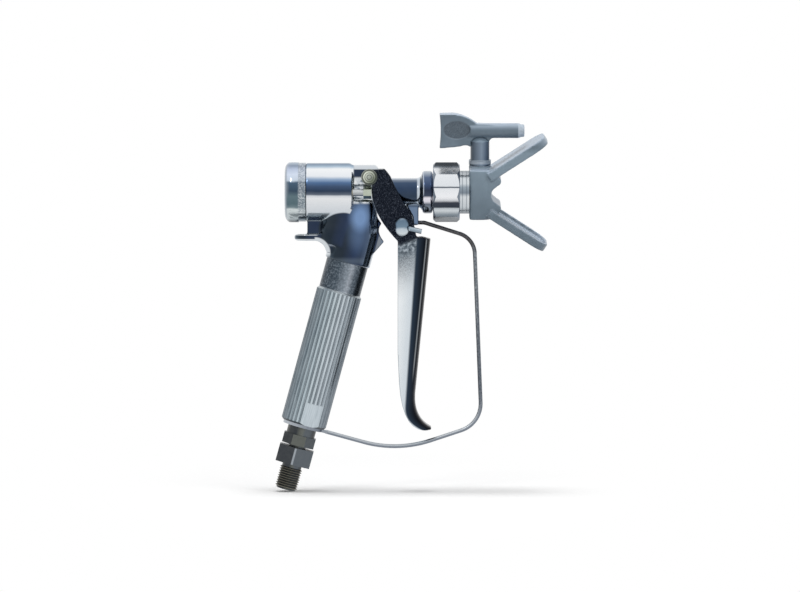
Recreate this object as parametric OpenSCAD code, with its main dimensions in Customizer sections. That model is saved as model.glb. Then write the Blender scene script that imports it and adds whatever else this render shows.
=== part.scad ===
// Airless paint spray gun with a reversible tip, a wing guard and a swivel inlet.
// Lengths are in millimetres. The barrel runs along +X, and +Z is up.
// Sizes are measured from the point where the barrel axis crosses the handle axis.

/* [Body] */
// Tilt of the handle, in degrees back from square to the barrel
handle_tilt = 15.3; // [14:0.1:16.5]
// Radius of the rear chamber
chamber_r = 17.5; // [17.2:0.1:18.5]
// From the handle axis back to the open end of the chamber
chamber_back = 36.5; // [35.5:0.5:39]
// From the handle axis back to the shoulder in front of the chamber
shoulder_back = 8.2; // [7.8:0.1:8.8]
// Rounding of the shoulder's edge
shoulder_round = 2.5; // [1:0.1:3]
// Thickness of the wall between the chamber and the barrel
front_wall = 5; // [4.6:0.1:6]
// Radius of the bore in the chamber
chamber_bore_r = 15; // [14.8:0.1:15.4]
// Radius of the barrel
barrel_r = 8.5; // [8.3:0.1:8.8]
// From the handle axis forward to the front face of the barrel
barrel_front = 33.3; // [32.5:0.1:36]
// Radius of the flange at the front of the barrel
flange_r = 12; // [11.5:0.1:12.5]
// Radius of the paint passage in the barrel
passage_r = 5; // [4.5:0.1:5.2]
// Radius of the paint passage that rises from the handle
riser_r = 4; // [3.5:0.1:4.4]
// Half width of the upper lug, between the trigger's ears
lug_half_w = 10.2; // [9.5:0.1:10.2]
// Height of the upper lug over the barrel axis
lug_top = 16.3; // [15.5:0.1:16.8]
// From the handle axis forward to the front end of the upper lug
lug_front = 7.1; // [6.6:0.1:8]
// Half width of the finger rib and of the front hook lug
rib_half_w = 5; // [4:0.1:6]
// Depth of the front hook lug under the barrel axis
hook_depth = 19.7; // [19.4:0.1:21]
// Thickness of the front hook lug along the barrel
hook_t = 3.6; // [3.2:0.1:4.5]
// Reach of the web behind the front hook lug
hook_web = 3.8; // [3:0.1:5]
// From the handle axis back to the heel under the chamber, square to the handle
heel_back = 22.5; // [21:0.1:24]
// Radius of the heel under the chamber
heel_r = 13; // [12.4:0.1:13.2]
// Half width of the tail that rests on the hand
tail_half_w = 9; // [7:0.5:12]
// Thickness of the tail
tail_t = 3.9; // [3:0.1:4.5]
// From the handle axis back to the end of the tail
tail_back = 43.5; // [40:0.5:45]
// Radius of the body's neck where the handle enters
neck_r = 13.8; // [13.6:0.1:14.2]
// Distance along the handle axis to the end of the neck
neck_t = 43.8; // [43:0.1:46]

/* [End cap] */
// Across the flats of the end cap
cap_af = 35.8; // [35.4:0.1:37]
// Length of the plain band on the end cap
cap_band = 4.2; // [3.5:0.1:6]
// Length of the faceted part of the end cap
cap_facets = 8.3; // [7.5:0.1:10]
// Rounding of the end cap's rear edge
cap_round = 5; // [3:0.1:6]
// Length of the spigot inside the chamber
cap_spigot = 4.9; // [4.5:0.1:5]
// Radius of the spring pocket
pocket_r = 9; // [8.6:0.1:9.5]
// Depth of the spring pocket, measured from the band's front face
pocket_depth = 7.5; // [7:0.1:9]

/* [Handle] */
// Radius of the collar
collar_r = 12.65; // [12.3:0.05:13.2]
// Length of the collar
collar_len = 17.7; // [15:0.1:20]
// Radius of the grip
grip_r = 13.7; // [13.4:0.1:14.5]
// Length of the grip
grip_len = 82.8; // [76:0.1:95]
// Number of flutes around the grip
flute_count = 32; // [24:1:36]
// Radius of the cutter for a flute
flute_r = 0.75; // [0.6:0.05:0.8]
// Bevel at both ends of the grip
grip_bevel = 1.1; // [0.8:0.1:1.5]
// Across the wrench flats of the grip
grip_flats = 24.7; // [24:0.1:25.5]
// Length of the wrench flats
flats_len = 13.8; // [10:0.1:16]
// Turn of the wrench flats about the handle, in degrees
flats_turn = 16; // [0:1:40]
// Radius of the spigot that enters the neck
spigot_r = 10.95; // [10.8:0.05:11.2]
// Length of the spigot that enters the neck
spigot_len = 14.2; // [13.5:0.1:15]
// Radius of the filter bore
filter_bore_r = 9.5; // [9.3:0.1:9.6]
// Thickness of the gaskets
gasket_t = 1.5; // [1:0.1:2]

/* [Filter] */
// Radius of the filter core
core_r = 6; // [5.5:0.1:6.5]
// Radius of the bore in the filter core
core_bore_r = 4; // [3.5:0.1:4.3]
// Radius outside the filter mesh
mesh_r = 8.2; // [7.8:0.1:8.6]
// Thickness of the filter mesh
mesh_t = 0.5; // [0.4:0.1:0.8]
// Thickness of the filter's end flanges
filter_flange_t = 3; // [2:0.1:4]
// Space between the filter's top and the top of the handle
filter_gap = 1.5; // [0.8:0.1:3]

/* [Inlet] */
// Radius of the inlet fitting's threaded spigot
inlet_r = 8; // [7.8:0.1:8.2]
// Length of the inlet fitting's threaded spigot
inlet_spigot = 13.3; // [11:0.1:15]
// Radius of the inlet fitting's round stub
stub_r = 8.6; // [8.4:0.1:9.2]
// Length of the inlet fitting's round stub
stub_len = 5; // [4:0.1:7]
// Across the flats of the inlet fitting's eight-sided part
fitting_af = 19.4; // [18.5:0.1:20.5]
// Length of the inlet fitting's eight-sided part
fitting_len = 6.3; // [5:0.1:8]
// Gap between the inlet fitting and the swivel
swivel_gap = 1.3; // [0.8:0.1:2]
// Across the flats of the swivel's hexagon
swivel_af = 20.8; // [20:0.1:22]
// Length of the swivel's hexagon
swivel_len = 10.5; // [10:0.1:13]
// Length of the swivel's plain neck
swivel_neck = 2.1; // [1.5:0.1:3]
// Radius over the crests of the inlet thread
thread_r = 6.72; // [6.6:0.01:6.8]
// Depth of the inlet thread
thread_depth = 0.85; // [0.6:0.05:1]
// Pitch of the inlet thread
thread_pitch = 1.411; // [1.2:0.001:1.6]
// Number of thread crests
thread_crests = 9; // [7:1:10]
// Radius of the stem inside the swivel
stem_r = 5; // [4.9:0.1:5.2]
// Radius of the paint passage through the inlet
inlet_bore_r = 2.6; // [2.3:0.1:3]

/* [Trigger] */
// Pivot of the trigger, forward of the handle axis
pivot_x = 1.6; // [1.4:0.1:1.8]
// Pivot of the trigger, over the barrel axis
pivot_z = 9.24; // [9.1:0.02:9.4]
// Radius of the pivot screw
pivot_r = 2.5; // [2.2:0.1:2.6]
// Radius of the trigger's ear round the pivot
ear_r = 4.7; // [4.5:0.1:5]
// Inside half width between the trigger's ears
ear_in = 10.6; // [10.6:0.1:11]
// Thickness of the trigger's ears
ear_t = 2.6; // [2.4:0.1:3]
// Thickness of the blade's walls
blade_wall = 2.2; // [1.8:0.1:2.6]
// Rounding of the blade's front corners
blade_round = 8; // [4:0.5:10]
// Radius of the trigger lock's pin
lock_r = 2; // [1.6:0.1:2.3]
// Radius of the trigger lock's head
lock_head_r = 3.9; // [3.5:0.1:4.5]
// Radius of the trigger lock's lever
lever_r = 1.5; // [1.2:0.1:1.6]
// Length of the trigger lock's lever from the pin's axis
lever_len = 12; // [9:0.5:14]

/* [Trigger guard] */
// Radius of the guard's wire
wire_r = 1.2; // [1:0.05:1.4]
// Bend radius of the upper corner
wire_upper_bend = 13; // [9:0.5:16]
// Bend radius of the lower corner
wire_lower_bend = 17; // [12:0.5:20]
// Bend radius of the long sweep under the trigger
wire_sweep_bend = 70; // [50:1:90]
// Radius of the eyelet under the handle
eyelet_r = 12; // [11:0.1:12.5]
// Thickness of the eyelet under the handle
eyelet_t = 1.8; // [1.4:0.1:2.2]

/* [Needle] */
// Half distance between the two actuator rods
rod_y = 12.4; // [12.3:0.05:12.5]
// Radius of the actuator rods
rod_r = 2.1; // [1.9:0.05:2.2]
// Across the flats of the nuts on the rods
rod_nut_af = 6.6; // [6:0.1:6.8]
// Length of the nuts on the rods
rod_nut_len = 4.7; // [4:0.1:4.8]
// From the handle axis forward to the front of the rod nuts
rod_nut_front = 2.8; // [2.2:0.1:2.8]
// Wall of the rod bushings
bushing_wall = 1; // [0.8:0.1:1.2]
// From the handle axis back to the front face of the yoke
yoke_back = 23; // [22:0.5:23]
// Thickness of the yoke along the barrel
yoke_t = 5; // [4:0.1:5]
// Height of the yoke
yoke_h = 9; // [7:0.5:10]
// Radius of the needle
needle_r = 1.6; // [1.4:0.1:1.8]
// Radius of the valve ball
ball_r = 2.4; // [2.2:0.1:2.8]
// Mean radius of the spring's coil
coil_r = 7; // [6.5:0.1:7.4]
// Radius of the spring's wire
coil_wire_r = 0.8; // [0.6:0.05:0.9]
// Number of turns of the spring
coil_turns = 6; // [4:1:7]

/* [Valve] */
// Radius of the bead on the valve housing
bead_r = 12.75; // [12.5:0.05:13.2]
// Length of the bead on the valve housing
bead_len = 6.2; // [5:0.1:7.5]
// Radius of the valve housing's threaded nose
nose_r = 11; // [10.8:0.05:11.2]
// Length of the valve housing's threaded nose
nose_len = 10; // [9:0.1:12]
// Radius of the valve housing's tail inside the barrel
tail_pipe_r = 6.95; // [6.7:0.05:7]
// Length of the valve housing's tail inside the barrel
tail_pipe_len = 13; // [10:0.5:14]
// Radius of the valve seat
seat_r = 5.9; // [5.6:0.1:6.1]
// Radius of the hole in the valve seat
seat_hole_r = 1.5; // [1.2:0.1:1.6]
// Thickness of the valve seat
seat_t = 4; // [3.2:0.1:5]
// From the barrel's front face forward to the valve seat
seat_setback = 2.7; // [2.5:0.1:4]

/* [Guard nut] */
// Across the flats of the eight-sided guard nut
nut_af = 33.5; // [32.5:0.1:35]
// Length of the guard nut
nut_len = 15.9; // [15:0.1:18]
// Bevel at both ends of the guard nut
nut_bevel = 1.7; // [1:0.1:2.2]
// Turn of the guard nut about the barrel, in degrees
nut_turn = 8; // [0:1:44]
// Gap between the bead and the guard nut
nut_gap = 0.3; // [0.3:0.1:0.8]
// Length of the guard nut's front lip
nut_lip = 3.4; // [2.6:0.1:4]

/* [Tip guard] */
// Roll of the tip guard about the barrel, in degrees
guard_roll = 9; // [0:1:20]
// Radius of the ring between the guard nut and the tip guard
collar_ring_r = 12.9; // [12.6:0.1:13.2]
// Length of that ring outside the guard nut
collar_ring_len = 5.7; // [4.5:0.1:7]
// Radius of the ring's flange inside the guard nut
ring_flange_r = 14.1; // [13.8:0.1:14.3]
// Half height of the guard's block
block_half_h = 15; // [14.5:0.1:16]
// Half width of the guard's block
block_half_w = 12; // [11.5:0.1:13]
// Length of the guard's block
block_len = 12.6; // [12.4:0.1:14]
// Rounding of the block's upright edges
block_round = 4; // [2:0.5:5]
// Height of the round boss on the block
boss_h = 2; // [1.5:0.1:3]
// Radius of the spray notch between the wings
notch_r = 5.2; // [4.5:0.1:5.6]
// From the block's rear face forward to the notch's axis
notch_reach = 18.3; // [17.8:0.1:20]
// Radius of the lips beside the notch
lip_r = 2.8; // [2.4:0.1:3.2]
// Angle of each wing to the barrel, in degrees
wing_angle = 33; // [30:0.5:36]
// Length of each wing
wing_len = 40.5; // [36:0.5:44]
// Half width of each wing
wing_half_w = 14; // [12:0.5:15]
// Thickness of each wing's plate
wing_t = 2.8; // [2:0.1:3.4]
// Width of the rim around each wing
rim_w = 1.8; // [1.2:0.1:2.5]
// Height of the rim around each wing
rim_h = 2.4; // [1:0.1:3]
// Rounding of the wing's end corners
wing_round = 9; // [6:0.5:11]

/* [Spray tip] */
// Radius of the tip's stem
stem_tip_r = 5.65; // [5.4:0.05:5.8]
// From the block's rear face forward to the tip's axis
tip_reach = 6.4; // [6.3:0.1:7]
// Height of the stem's shoulder over the barrel axis
shoulder_top = 19.6; // [19:0.1:21]
// Radius of the stem's shoulder
tip_shoulder_r = 6.6; // [6.4:0.1:7]
// Height of the stem's domed end over the barrel axis
stem_top = 34; // [33:0.5:36]
// Height of the handle's axis over the barrel axis
tip_bar_z = 37.4; // [37:0.1:39]
// Radius of the handle's round bar
tip_bar_r = 4.5; // [4.2:0.1:5]
// From the tip's axis forward to the end of the round bar
tip_bar_len = 23.8; // [20:0.1:26]
// Length of the nub on the end of the round bar
tip_nub = 2.8; // [2:0.1:4]
// Half thickness of the handle's flag
flag_half_t = 2.6; // [2:0.1:3.5]
// From the tip's axis back to the end of the flag
flag_len = 24.2; // [22:0.1:26]
// Height of the flag
flag_h = 20.6; // [18:0.1:22]
// Depth of the oval recess in each side of the flag
recess_depth = 0.6; // [0.4:0.1:1]

/* [Fits] */
// Running clearance between turning or sliding pieces
fit = 0.06; // [0.04:0.01:0.1]

/* [Hidden] */
$fn = 48;
past = 1;
octagon = 8;
hexagon = 6;

// Stations along the barrel, forward of the handle axis
cap_face_x = -chamber_back;
cap_rear_x = cap_face_x - cap_band - cap_facets;
wall_back_x = -shoulder_back - front_wall;
seat_x = barrel_front + seat_setback;
bead_end_x = barrel_front + bead_len;
nose_end_x = bead_end_x + nose_len;
nut_x = bead_end_x + nut_gap;
nut_end_x = nut_x + nut_len;
block_x = nut_end_x + collar_ring_len;
tip_x = block_x + tip_reach;
notch_x = block_x + notch_reach;
yoke_x = -yoke_back;

// Stations down the handle, measured along its axis
handle_top_t = neck_t - spigot_len;
collar_end_t = neck_t + collar_len;
grip_end_t = collar_end_t + grip_len;
inlet_top_t = grip_end_t - inlet_spigot;
stub_t = grip_end_t + eyelet_t;
fitting_t = stub_t + stub_len;
fitting_end_t = fitting_t + fitting_len;
swivel_t = fitting_end_t + swivel_gap;
swivel_end_t = swivel_t + swivel_len;
thread_t = swivel_end_t + swivel_neck;
thread_end_t = thread_t + thread_crests * thread_pitch;
stem_end_t = swivel_t + 0.75 * swivel_len;

// The origin is on the inlet thread's axis, at its last full crest
origin_t = thread_end_t - thread_pitch / 2;
origin_x = origin_t * sin(handle_tilt);
origin_z = origin_t * cos(handle_tilt);

ear_out = ear_in + ear_t;
chamber_fit_r = chamber_bore_r - fit;
nose_fit_r = nose_r + fit;
cup_r = ring_flange_r + 3 * fit;

// Points on an arc about [cx, cy], from angle a to angle b
function arc(cx, cy, r, a, b, steps = 6) =
    [for (i = [0:steps]) let (t = a + (b - a) * i / steps) [cx + r * cos(t), cy + r * sin(t)]];

// Points on a curve from a to c that is pulled towards b
function sweep(a, b, c, steps = 8) =
    [for (i = [0:steps]) let (u = i / steps) (1 - u) * (1 - u) * a + 2 * u * (1 - u) * b + u * u * c];

// Point at distance s in front of the handle axis, at station t down it
function off_handle(s, t) =
    [s * cos(handle_tilt) - t * sin(handle_tilt), -s * sin(handle_tilt) - t * cos(handle_tilt)];

// Circumradius of a polygon with n sides that measures af across its flats
function corner_r(af, n) = af / 2 / cos(180 / n);

module placed() {
    translate([origin_x, 0, origin_z]) children();
}

// Turns an outline of [radius, station] points about the barrel axis
module barrel_turned(outline) {
    rotate([0, 90, 0]) rotate_extrude() polygon(outline);
}

// Turns an outline of [radius, station] points about the handle axis
module handle_turned(outline) {
    rotate([0, handle_tilt, 0]) mirror([0, 0, 1]) rotate_extrude() polygon(outline);
}

// Places children on the handle axis at station t, with their +Z down the handle
module on_handle(t) {
    rotate([0, handle_tilt, 0]) translate([0, 0, -t]) mirror([0, 0, 1]) children();
}

// Places children on the barrel axis at station x, with their +Z forward
module on_barrel(x) {
    translate([x, 0, 0]) rotate([0, 90, 0]) children();
}

// Extrudes an outline of [forward, up] points to both sides of the middle plane
module side_plate(half_w) {
    rotate([90, 0, 0]) linear_extrude(2 * half_w, center = true) children();
}

// Places a cylinder across the gun at [x, z], from y0 to y1
module cross_pin(x, z, r, y0, y1, fn = $fn) {
    translate([x, y1, z]) rotate([90, 0, 0]) cylinder(r = r, h = y1 - y0, $fn = fn);
}

// A ring about the barrel, from station a to station b
module barrel_ring(r_in, r_out, a, b) {
    barrel_turned([[r_in, a], [r_out, a], [r_out, b], [r_in, b]]);
}

// A ring about the handle, from station a to station b
module handle_ring(r_in, r_out, a, b) {
    handle_turned([[r_in, a], [r_out, a], [r_out, b], [r_in, b]]);
}

// Places children at the left actuator rod, or at the right one with a side of -1
module at_rod(side = 1) {
    translate([0, side * rod_y, 0]) children();
}

// Holds the tip guard and the spray tip at the guard's roll
module rolled() {
    rotate([guard_roll, 0, 0]) children();
}

// ---- Body ----

edge = 0.6;
hook_x = barrel_front - 5.8;
packing_r = 4.6;
packing_step_x = -shoulder_back + 2.2;
guide_end_x = packing_step_x + 1.6;
socket_r = spigot_r + fit;
socket_t = handle_top_t - gasket_t;
tail_pipe_back = barrel_front - tail_pipe_len;
wire_hole_z = 1.5 - hook_depth;

chamber_outline = concat(
    [[0, cap_face_x], [chamber_r - edge, cap_face_x], [chamber_r, cap_face_x + edge]],
    arc(chamber_r - shoulder_round, -shoulder_back - shoulder_round, shoulder_round, 0, 90),
    [[0, -shoulder_back]]
);

flare = flange_r - barrel_r;
barrel_outline = concat(
    [[0, -shoulder_back - edge], [barrel_r, -shoulder_back - edge]],
    [for (p = arc(flange_r, barrel_front - flare, flare, 180, 90)) p],
    [[0, barrel_front]]
);

// The front hook lug, with its web up to the barrel behind it
hook_outline = [
    [hook_x - hook_web, -barrel_r / 2],
    [hook_x - hook_web, -barrel_r],
    [hook_x, wire_hole_z + 2.4 * wire_r],
    [hook_x, -hook_depth],
    [hook_x + hook_t, -hook_depth],
    [hook_x + hook_t, -barrel_r / 2]
];

lug_foot = corner_r(rod_nut_af, hexagon) + 0.4;
lug_outline = [
    [-shoulder_back - edge, lug_foot], [-shoulder_back - edge, lug_top], [lug_front - 1.7, lug_top],
    [lug_front, lug_top - 2.1], [lug_front, lug_foot + 1], [lug_front - 1, lug_foot]
];

tail_z = -25;
heel_end_t = 36;
heel_rear_x = -28;

// The part under the chamber, seen from the side
socket_outline = concat(
    [[heel_rear_x, -12], [-12, -6.6], [-shoulder_back - edge, -4.7]],
    sweep([2.2, -5.2], [5.2, -7], [6.0, -11]),
    [[6.6, -15.4], [7.8, -22], off_handle(neck_r, 36), off_handle(neck_r, neck_t)],
    [off_handle(-neck_r, neck_t)],
    sweep(off_handle(-neck_r, 42), off_handle(-neck_r - 0.6, 36.5), [heel_rear_x + 0.6, tail_z]),
    [[heel_rear_x, -chamber_r]]
);

// Radius of the part under the chamber, at stations down the handle axis
socket_turned = [
    [0, 3], [9.3, 3], [9.8, 7], [10.6, 11], [11.4, 15], [12.9, 19.5], [neck_r, 25],
    [neck_r, neck_t - edge], [neck_r - edge, neck_t], [0, neck_t]
];

rib_outline = concat(
    [[0, -14], [6.4, -15]],
    sweep([8.9, -18.8], [5.2, -23.4], [10.4, -29.6]),
    [[4.4, -36.5], [0, -36.5]]
);

tail_outline = concat(
    [[-14, tail_z + 3], [-26, tail_z + 0.6], [-29, tail_z]],
    arc(-tail_back + tail_t / 2, tail_z - tail_t / 2, tail_t / 2, 90, 270),
    [[-31, tail_z - tail_t]],
    sweep([-30, tail_z - tail_t], [-25.2, tail_z - tail_t - 1.4], off_handle(-neck_r, 41)),
    [off_handle(-4, 38)]
);
web_outline = [
    [-35.6, -chamber_r + 4], [-35.6, tail_z - 1], [-20, tail_z - 1], [-20, -chamber_r + 4]
];

module gun_body() {
    color("lightsteelblue") placed() difference() {
        union() {
            barrel_turned(chamber_outline);
            barrel_turned(barrel_outline);
            intersection() {
                side_plate(lug_half_w) polygon(lug_outline);
                on_barrel(-chamber_back) cylinder(r = chamber_r - edge, h = 2 * chamber_back);
            }
            intersection() {
                side_plate(chamber_r) polygon(socket_outline);
                union() {
                    handle_turned(socket_turned);
                    on_handle(0) translate([heel_r - heel_back, 0, 0]) cylinder(r = heel_r, h = heel_end_t);
                }
            }
            side_plate(rib_half_w) polygon(rib_outline);
            side_plate(rib_half_w) polygon(hook_outline);
            intersection() {
                side_plate(tail_half_w) polygon(tail_outline);
                translate([-tail_back + tail_half_w, 0, tail_z - chamber_r]) {
                    cylinder(r = tail_half_w, h = 2 * chamber_r);
                    translate([0, -tail_half_w, 0]) cube([tail_back, 2 * tail_half_w, 2 * chamber_r]);
                }
            }
            side_plate(rib_half_w) polygon(web_outline);
        }
        on_barrel(cap_face_x - past) cylinder(r = chamber_bore_r, h = chamber_back + past + wall_back_x);
        on_barrel(wall_back_x - past) cylinder(r = packing_r, h = packing_step_x - wall_back_x + past);
        on_barrel(packing_step_x - past)
            cylinder(r = needle_r + edge, h = guide_end_x - packing_step_x + 2 * past);
        on_barrel(guide_end_x) cylinder(r = passage_r, h = barrel_front);
        on_barrel(tail_pipe_back) cylinder(r = tail_pipe_r + fit, h = barrel_front);
        for (side = [-1, 1]) at_rod(side) on_barrel(wall_back_x - past)
            cylinder(r = rod_r + 2 * fit + bushing_wall, h = front_wall + 2 * past);
        cross_pin(pivot_x, pivot_z, pivot_r + fit, -chamber_r, chamber_r);
        on_handle(0) cylinder(r = riser_r, h = neck_t);
        on_handle(socket_t) cylinder(r = socket_r, h = neck_t);
        translate([hook_x, 0, wire_hole_z]) rotate([0, 90, 0])
            cylinder(r = wire_r + fit, h = 2 * hook_t);
    }
}

// ---- End cap ----

cap_edge_r = corner_r(cap_af, octagon) - 0.8;
seal_x = cap_face_x + 2.6;
seal_w = 1.8;
seal_depth = 1.5;

cap_outline = concat(
    [[0, cap_rear_x]],
    arc(cap_edge_r - cap_round, cap_rear_x + cap_round, cap_round, -90, 0),
    [[cap_edge_r, cap_face_x - cap_band], [0, cap_face_x - cap_band]]
);

module end_cap() {
    color("silver") placed() difference() {
        union() {
            intersection() {
                barrel_turned(cap_outline);
                on_barrel(cap_rear_x) rotate(180 / octagon)
                    cylinder(r = corner_r(cap_af, octagon), h = cap_facets + past, $fn = octagon);
            }
            on_barrel(cap_face_x - cap_band) cylinder(r = chamber_r + 0.2, h = cap_band);
            on_barrel(cap_face_x) cylinder(r = chamber_fit_r, h = cap_spigot);
        }
        on_barrel(cap_face_x - pocket_depth) cylinder(r = pocket_r, h = pocket_depth + cap_spigot + past);
        barrel_ring(chamber_fit_r - seal_depth, chamber_r, seal_x - seal_w / 2, seal_x + seal_w / 2);
    }
}

module cap_seal() {
    color("black") placed() barrel_ring(
        chamber_fit_r - seal_depth + fit, chamber_bore_r - fit / 2,
        seal_x - seal_w / 2 + fit, seal_x + seal_w / 2 - fit
    );
}

// ---- Handle ----

inner_t = inlet_top_t;
tube_outline = [
    [filter_bore_r, handle_top_t], [spigot_r, handle_top_t], [spigot_r, neck_t], [collar_r, neck_t],
    [collar_r, collar_end_t], [grip_r - grip_bevel, collar_end_t],
    [grip_r, collar_end_t + grip_bevel], [grip_r, grip_end_t - grip_bevel],
    [grip_r - grip_bevel, grip_end_t], [inlet_r + fit, grip_end_t], [inlet_r + fit, inner_t],
    [filter_bore_r, inner_t]
];

module handle_tube() {
    color("gainsboro") placed() difference() {
        handle_turned(tube_outline);
        on_handle(collar_end_t + grip_bevel)
            for (i = [0:flute_count - 1])
                rotate(i * 360 / flute_count) translate([grip_r + flute_r / 4, 0, 0])
                    cylinder(r = flute_r, h = grip_len - 2 * grip_bevel, $fn = 16);
        on_handle(grip_end_t - flats_len) for (side = [0, 180])
            rotate(flats_turn + side)
                translate([-grip_r, grip_flats / 2, 0]) cube([2 * grip_r, grip_r, flats_len + past]);
    }
}

module handle_gasket() {
    color("black") placed()
        handle_ring(filter_bore_r - 2, spigot_r, socket_t, handle_top_t);
}

// ---- Filter ----

filter_top_t = handle_top_t + filter_gap;
mesh_top_t = filter_top_t + filter_flange_t;
mesh_end_t = inlet_top_t - filter_flange_t;
port_rows = 6;
port_r = 1.4;

module filter_core() {
    color("white") placed() difference() {
        union() {
            handle_ring(core_bore_r, core_r, filter_top_t, inlet_top_t);
            handle_ring(core_bore_r, mesh_r, filter_top_t, mesh_top_t);
            handle_ring(core_bore_r, filter_bore_r - fit, mesh_end_t, inlet_top_t);
        }
        for (i = [1:port_rows])
            on_handle(mesh_top_t + i * (mesh_end_t - mesh_top_t) / (port_rows + 1))
                rotate([0, 90, i * 90]) cylinder(r = port_r, h = 4 * core_r, center = true);
    }
}

module filter_mesh() {
    color("silver") placed() handle_ring(mesh_r - mesh_t, mesh_r, mesh_top_t, mesh_end_t);
}

// ---- Trigger guard ----

eyelet_mid_t = grip_end_t + eyelet_t / 2;
tab_len = grip_r + 1.6;
// Corners of the wire, in [forward, up] points
wire_corners = [
    [hook_x + 1, wire_hole_z],
    [hook_x + 7, wire_hole_z],
    [64.5, -27.6],
    [68.9, -139],
    off_handle(59, eyelet_mid_t),
    off_handle(tab_len - 1, eyelet_mid_t)
];
wire_bends = [0, 6, wire_upper_bend, wire_lower_bend, wire_sweep_bend, 0];
// The wire is drawn out a little by bending, and each straight runs a little into its bends
swell = 0.03;
lap = 0.2;

function heading(a, b) = atan2(b[1] - a[1], b[0] - a[0]);
function unit(a, b) = (b - a) / norm(b - a);
function turn_at(i) =
    let (t = heading(wire_corners[i], wire_corners[i + 1]) - heading(wire_corners[i - 1], wire_corners[i]))
    t > 180 ? t - 360 : t < -180 ? t + 360 : t;
function trim_at(i) =
    i == 0 || i == len(wire_corners) - 1 ? 0 : wire_bends[i] * tan(abs(turn_at(i)) / 2);

module wire_straight(i) {
    a = wire_corners[i];
    b = wire_corners[i + 1];
    start = a + unit(a, b) * (trim_at(i) - lap);
    length = norm(b - a) - trim_at(i) - trim_at(i + 1) + 2 * lap;
    translate(start) rotate([0, 90, heading(a, b)]) cylinder(r = wire_r, h = length);
}

module wire_bend(i) {
    a = wire_corners[i - 1];
    b = wire_corners[i];
    turn = turn_at(i);
    side = sign(turn);
    start = b - unit(a, b) * trim_at(i);
    square_on = heading(a, b) + 90 * side;
    centre = start + wire_bends[i] * [cos(square_on), sin(square_on)];
    translate(centre) rotate(side > 0 ? square_on + 180 : square_on + 180 + turn)
        rotate_extrude(angle = abs(turn), $fn = 2 * $fn)
            translate([wire_bends[i], 0]) circle(r = wire_r + swell);
}

module trigger_guard() {
    color("slategray") placed() {
        difference() {
            union() {
                rotate([90, 0, 0]) {
                    for (i = [0:len(wire_corners) - 2]) wire_straight(i);
                    for (i = [1:len(wire_corners) - 2]) wire_bend(i);
                }
                handle_ring(0, eyelet_r, grip_end_t, stub_t);
                on_handle(grip_end_t) translate([0, -2 * wire_r, 0])
                    cube([tab_len, 4 * wire_r, eyelet_t]);
            }
            on_handle(grip_end_t - past) cylinder(r = inlet_r + fit, h = eyelet_t + 2 * past);
        }
    }
}

// ---- Inlet ----

groove_w = 1.4;
clip_t = swivel_t + 0.5 * swivel_len;
seal_t = swivel_t + 0.25 * swivel_len;
clip_reach = 0.65;
seal_cut = 1.1;

module inlet_fitting() {
    color("darkolivegreen") placed() difference() {
        union() {
            handle_ring(inlet_bore_r, inlet_r, inlet_top_t, stub_t);
            handle_ring(inlet_bore_r, stub_r, stub_t, fitting_t);
            on_handle(fitting_t) rotate(90 + 180 / octagon)
                cylinder(r = corner_r(fitting_af, octagon), h = fitting_len, $fn = octagon);
            handle_ring(inlet_bore_r, stem_r, fitting_end_t - past, stem_end_t);
        }
        on_handle(fitting_t - past) cylinder(r = inlet_bore_r, h = fitting_len + 2 * past);
        handle_ring(stem_r - clip_reach, 2 * stem_r, clip_t - groove_w / 2, clip_t + groove_w / 2);
        handle_ring(stem_r - seal_cut, 2 * stem_r, seal_t - groove_w / 2, seal_t + groove_w / 2);
    }
}

module swivel_seal() {
    color("black") placed() handle_ring(
        stem_r - seal_cut + fit, stem_r, seal_t - groove_w / 2 + fit, seal_t + groove_w / 2 - fit
    );
}

module swivel_clip() {
    color("silver") placed() handle_ring(
        stem_r - clip_reach + fit, stem_r + clip_reach,
        clip_t - groove_w / 2 + fit, clip_t + groove_w / 2 - fit
    );
}

thread_land = 0.22;
thread_bevel = 0.8;
thread_root_r = thread_r - thread_depth;
// The thread's ridges, from the plain neck to the end face
thread_outline = concat(
    [[inlet_bore_r, thread_t], [thread_root_r, thread_t]],
    [for (i = [0:thread_crests - 1]) let (t = thread_t + (i + 1) * thread_pitch) each [
        [thread_root_r, t - thread_pitch + thread_land / 2],
        [thread_r, t - thread_pitch / 2 - thread_land / 2],
        [thread_r, t - thread_pitch / 2 + thread_land / 2], [thread_root_r, t - thread_land / 2]
    ]],
    [[thread_root_r, thread_end_t], [thread_root_r, thread_end_t + thread_bevel / 2]],
    [
        [thread_root_r - thread_bevel / 2, thread_end_t + thread_bevel],
        [inlet_bore_r, thread_end_t + thread_bevel]
    ]
);

module hose_swivel() {
    color("darkslategray") placed() difference() {
        union() {
            on_handle(swivel_t) rotate(90)
                cylinder(r = corner_r(swivel_af, hexagon), h = swivel_len, $fn = hexagon);
            handle_ring(inlet_bore_r, thread_root_r, swivel_end_t - past, thread_t);
            handle_turned(thread_outline);
        }
        on_handle(swivel_t - past) cylinder(r = stem_r + fit, h = stem_end_t - swivel_t + past + 2 * fit);
        on_handle(swivel_t) cylinder(r = inlet_bore_r, h = swivel_len + past);
        on_handle(clip_t - groove_w / 2) cylinder(r = stem_r + clip_reach + fit, h = groove_w);
    }
}

// ---- Valve ----

seat_end_x = seat_x + seat_t;
gasket_end_x = seat_end_x + 1.2;
retainer_end_x = nose_end_x - 2;
seat_pocket_r = seat_r + fit;
bead_round = 1.6;
thread_cut = 0.7;
nose_turns = 6;

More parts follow.
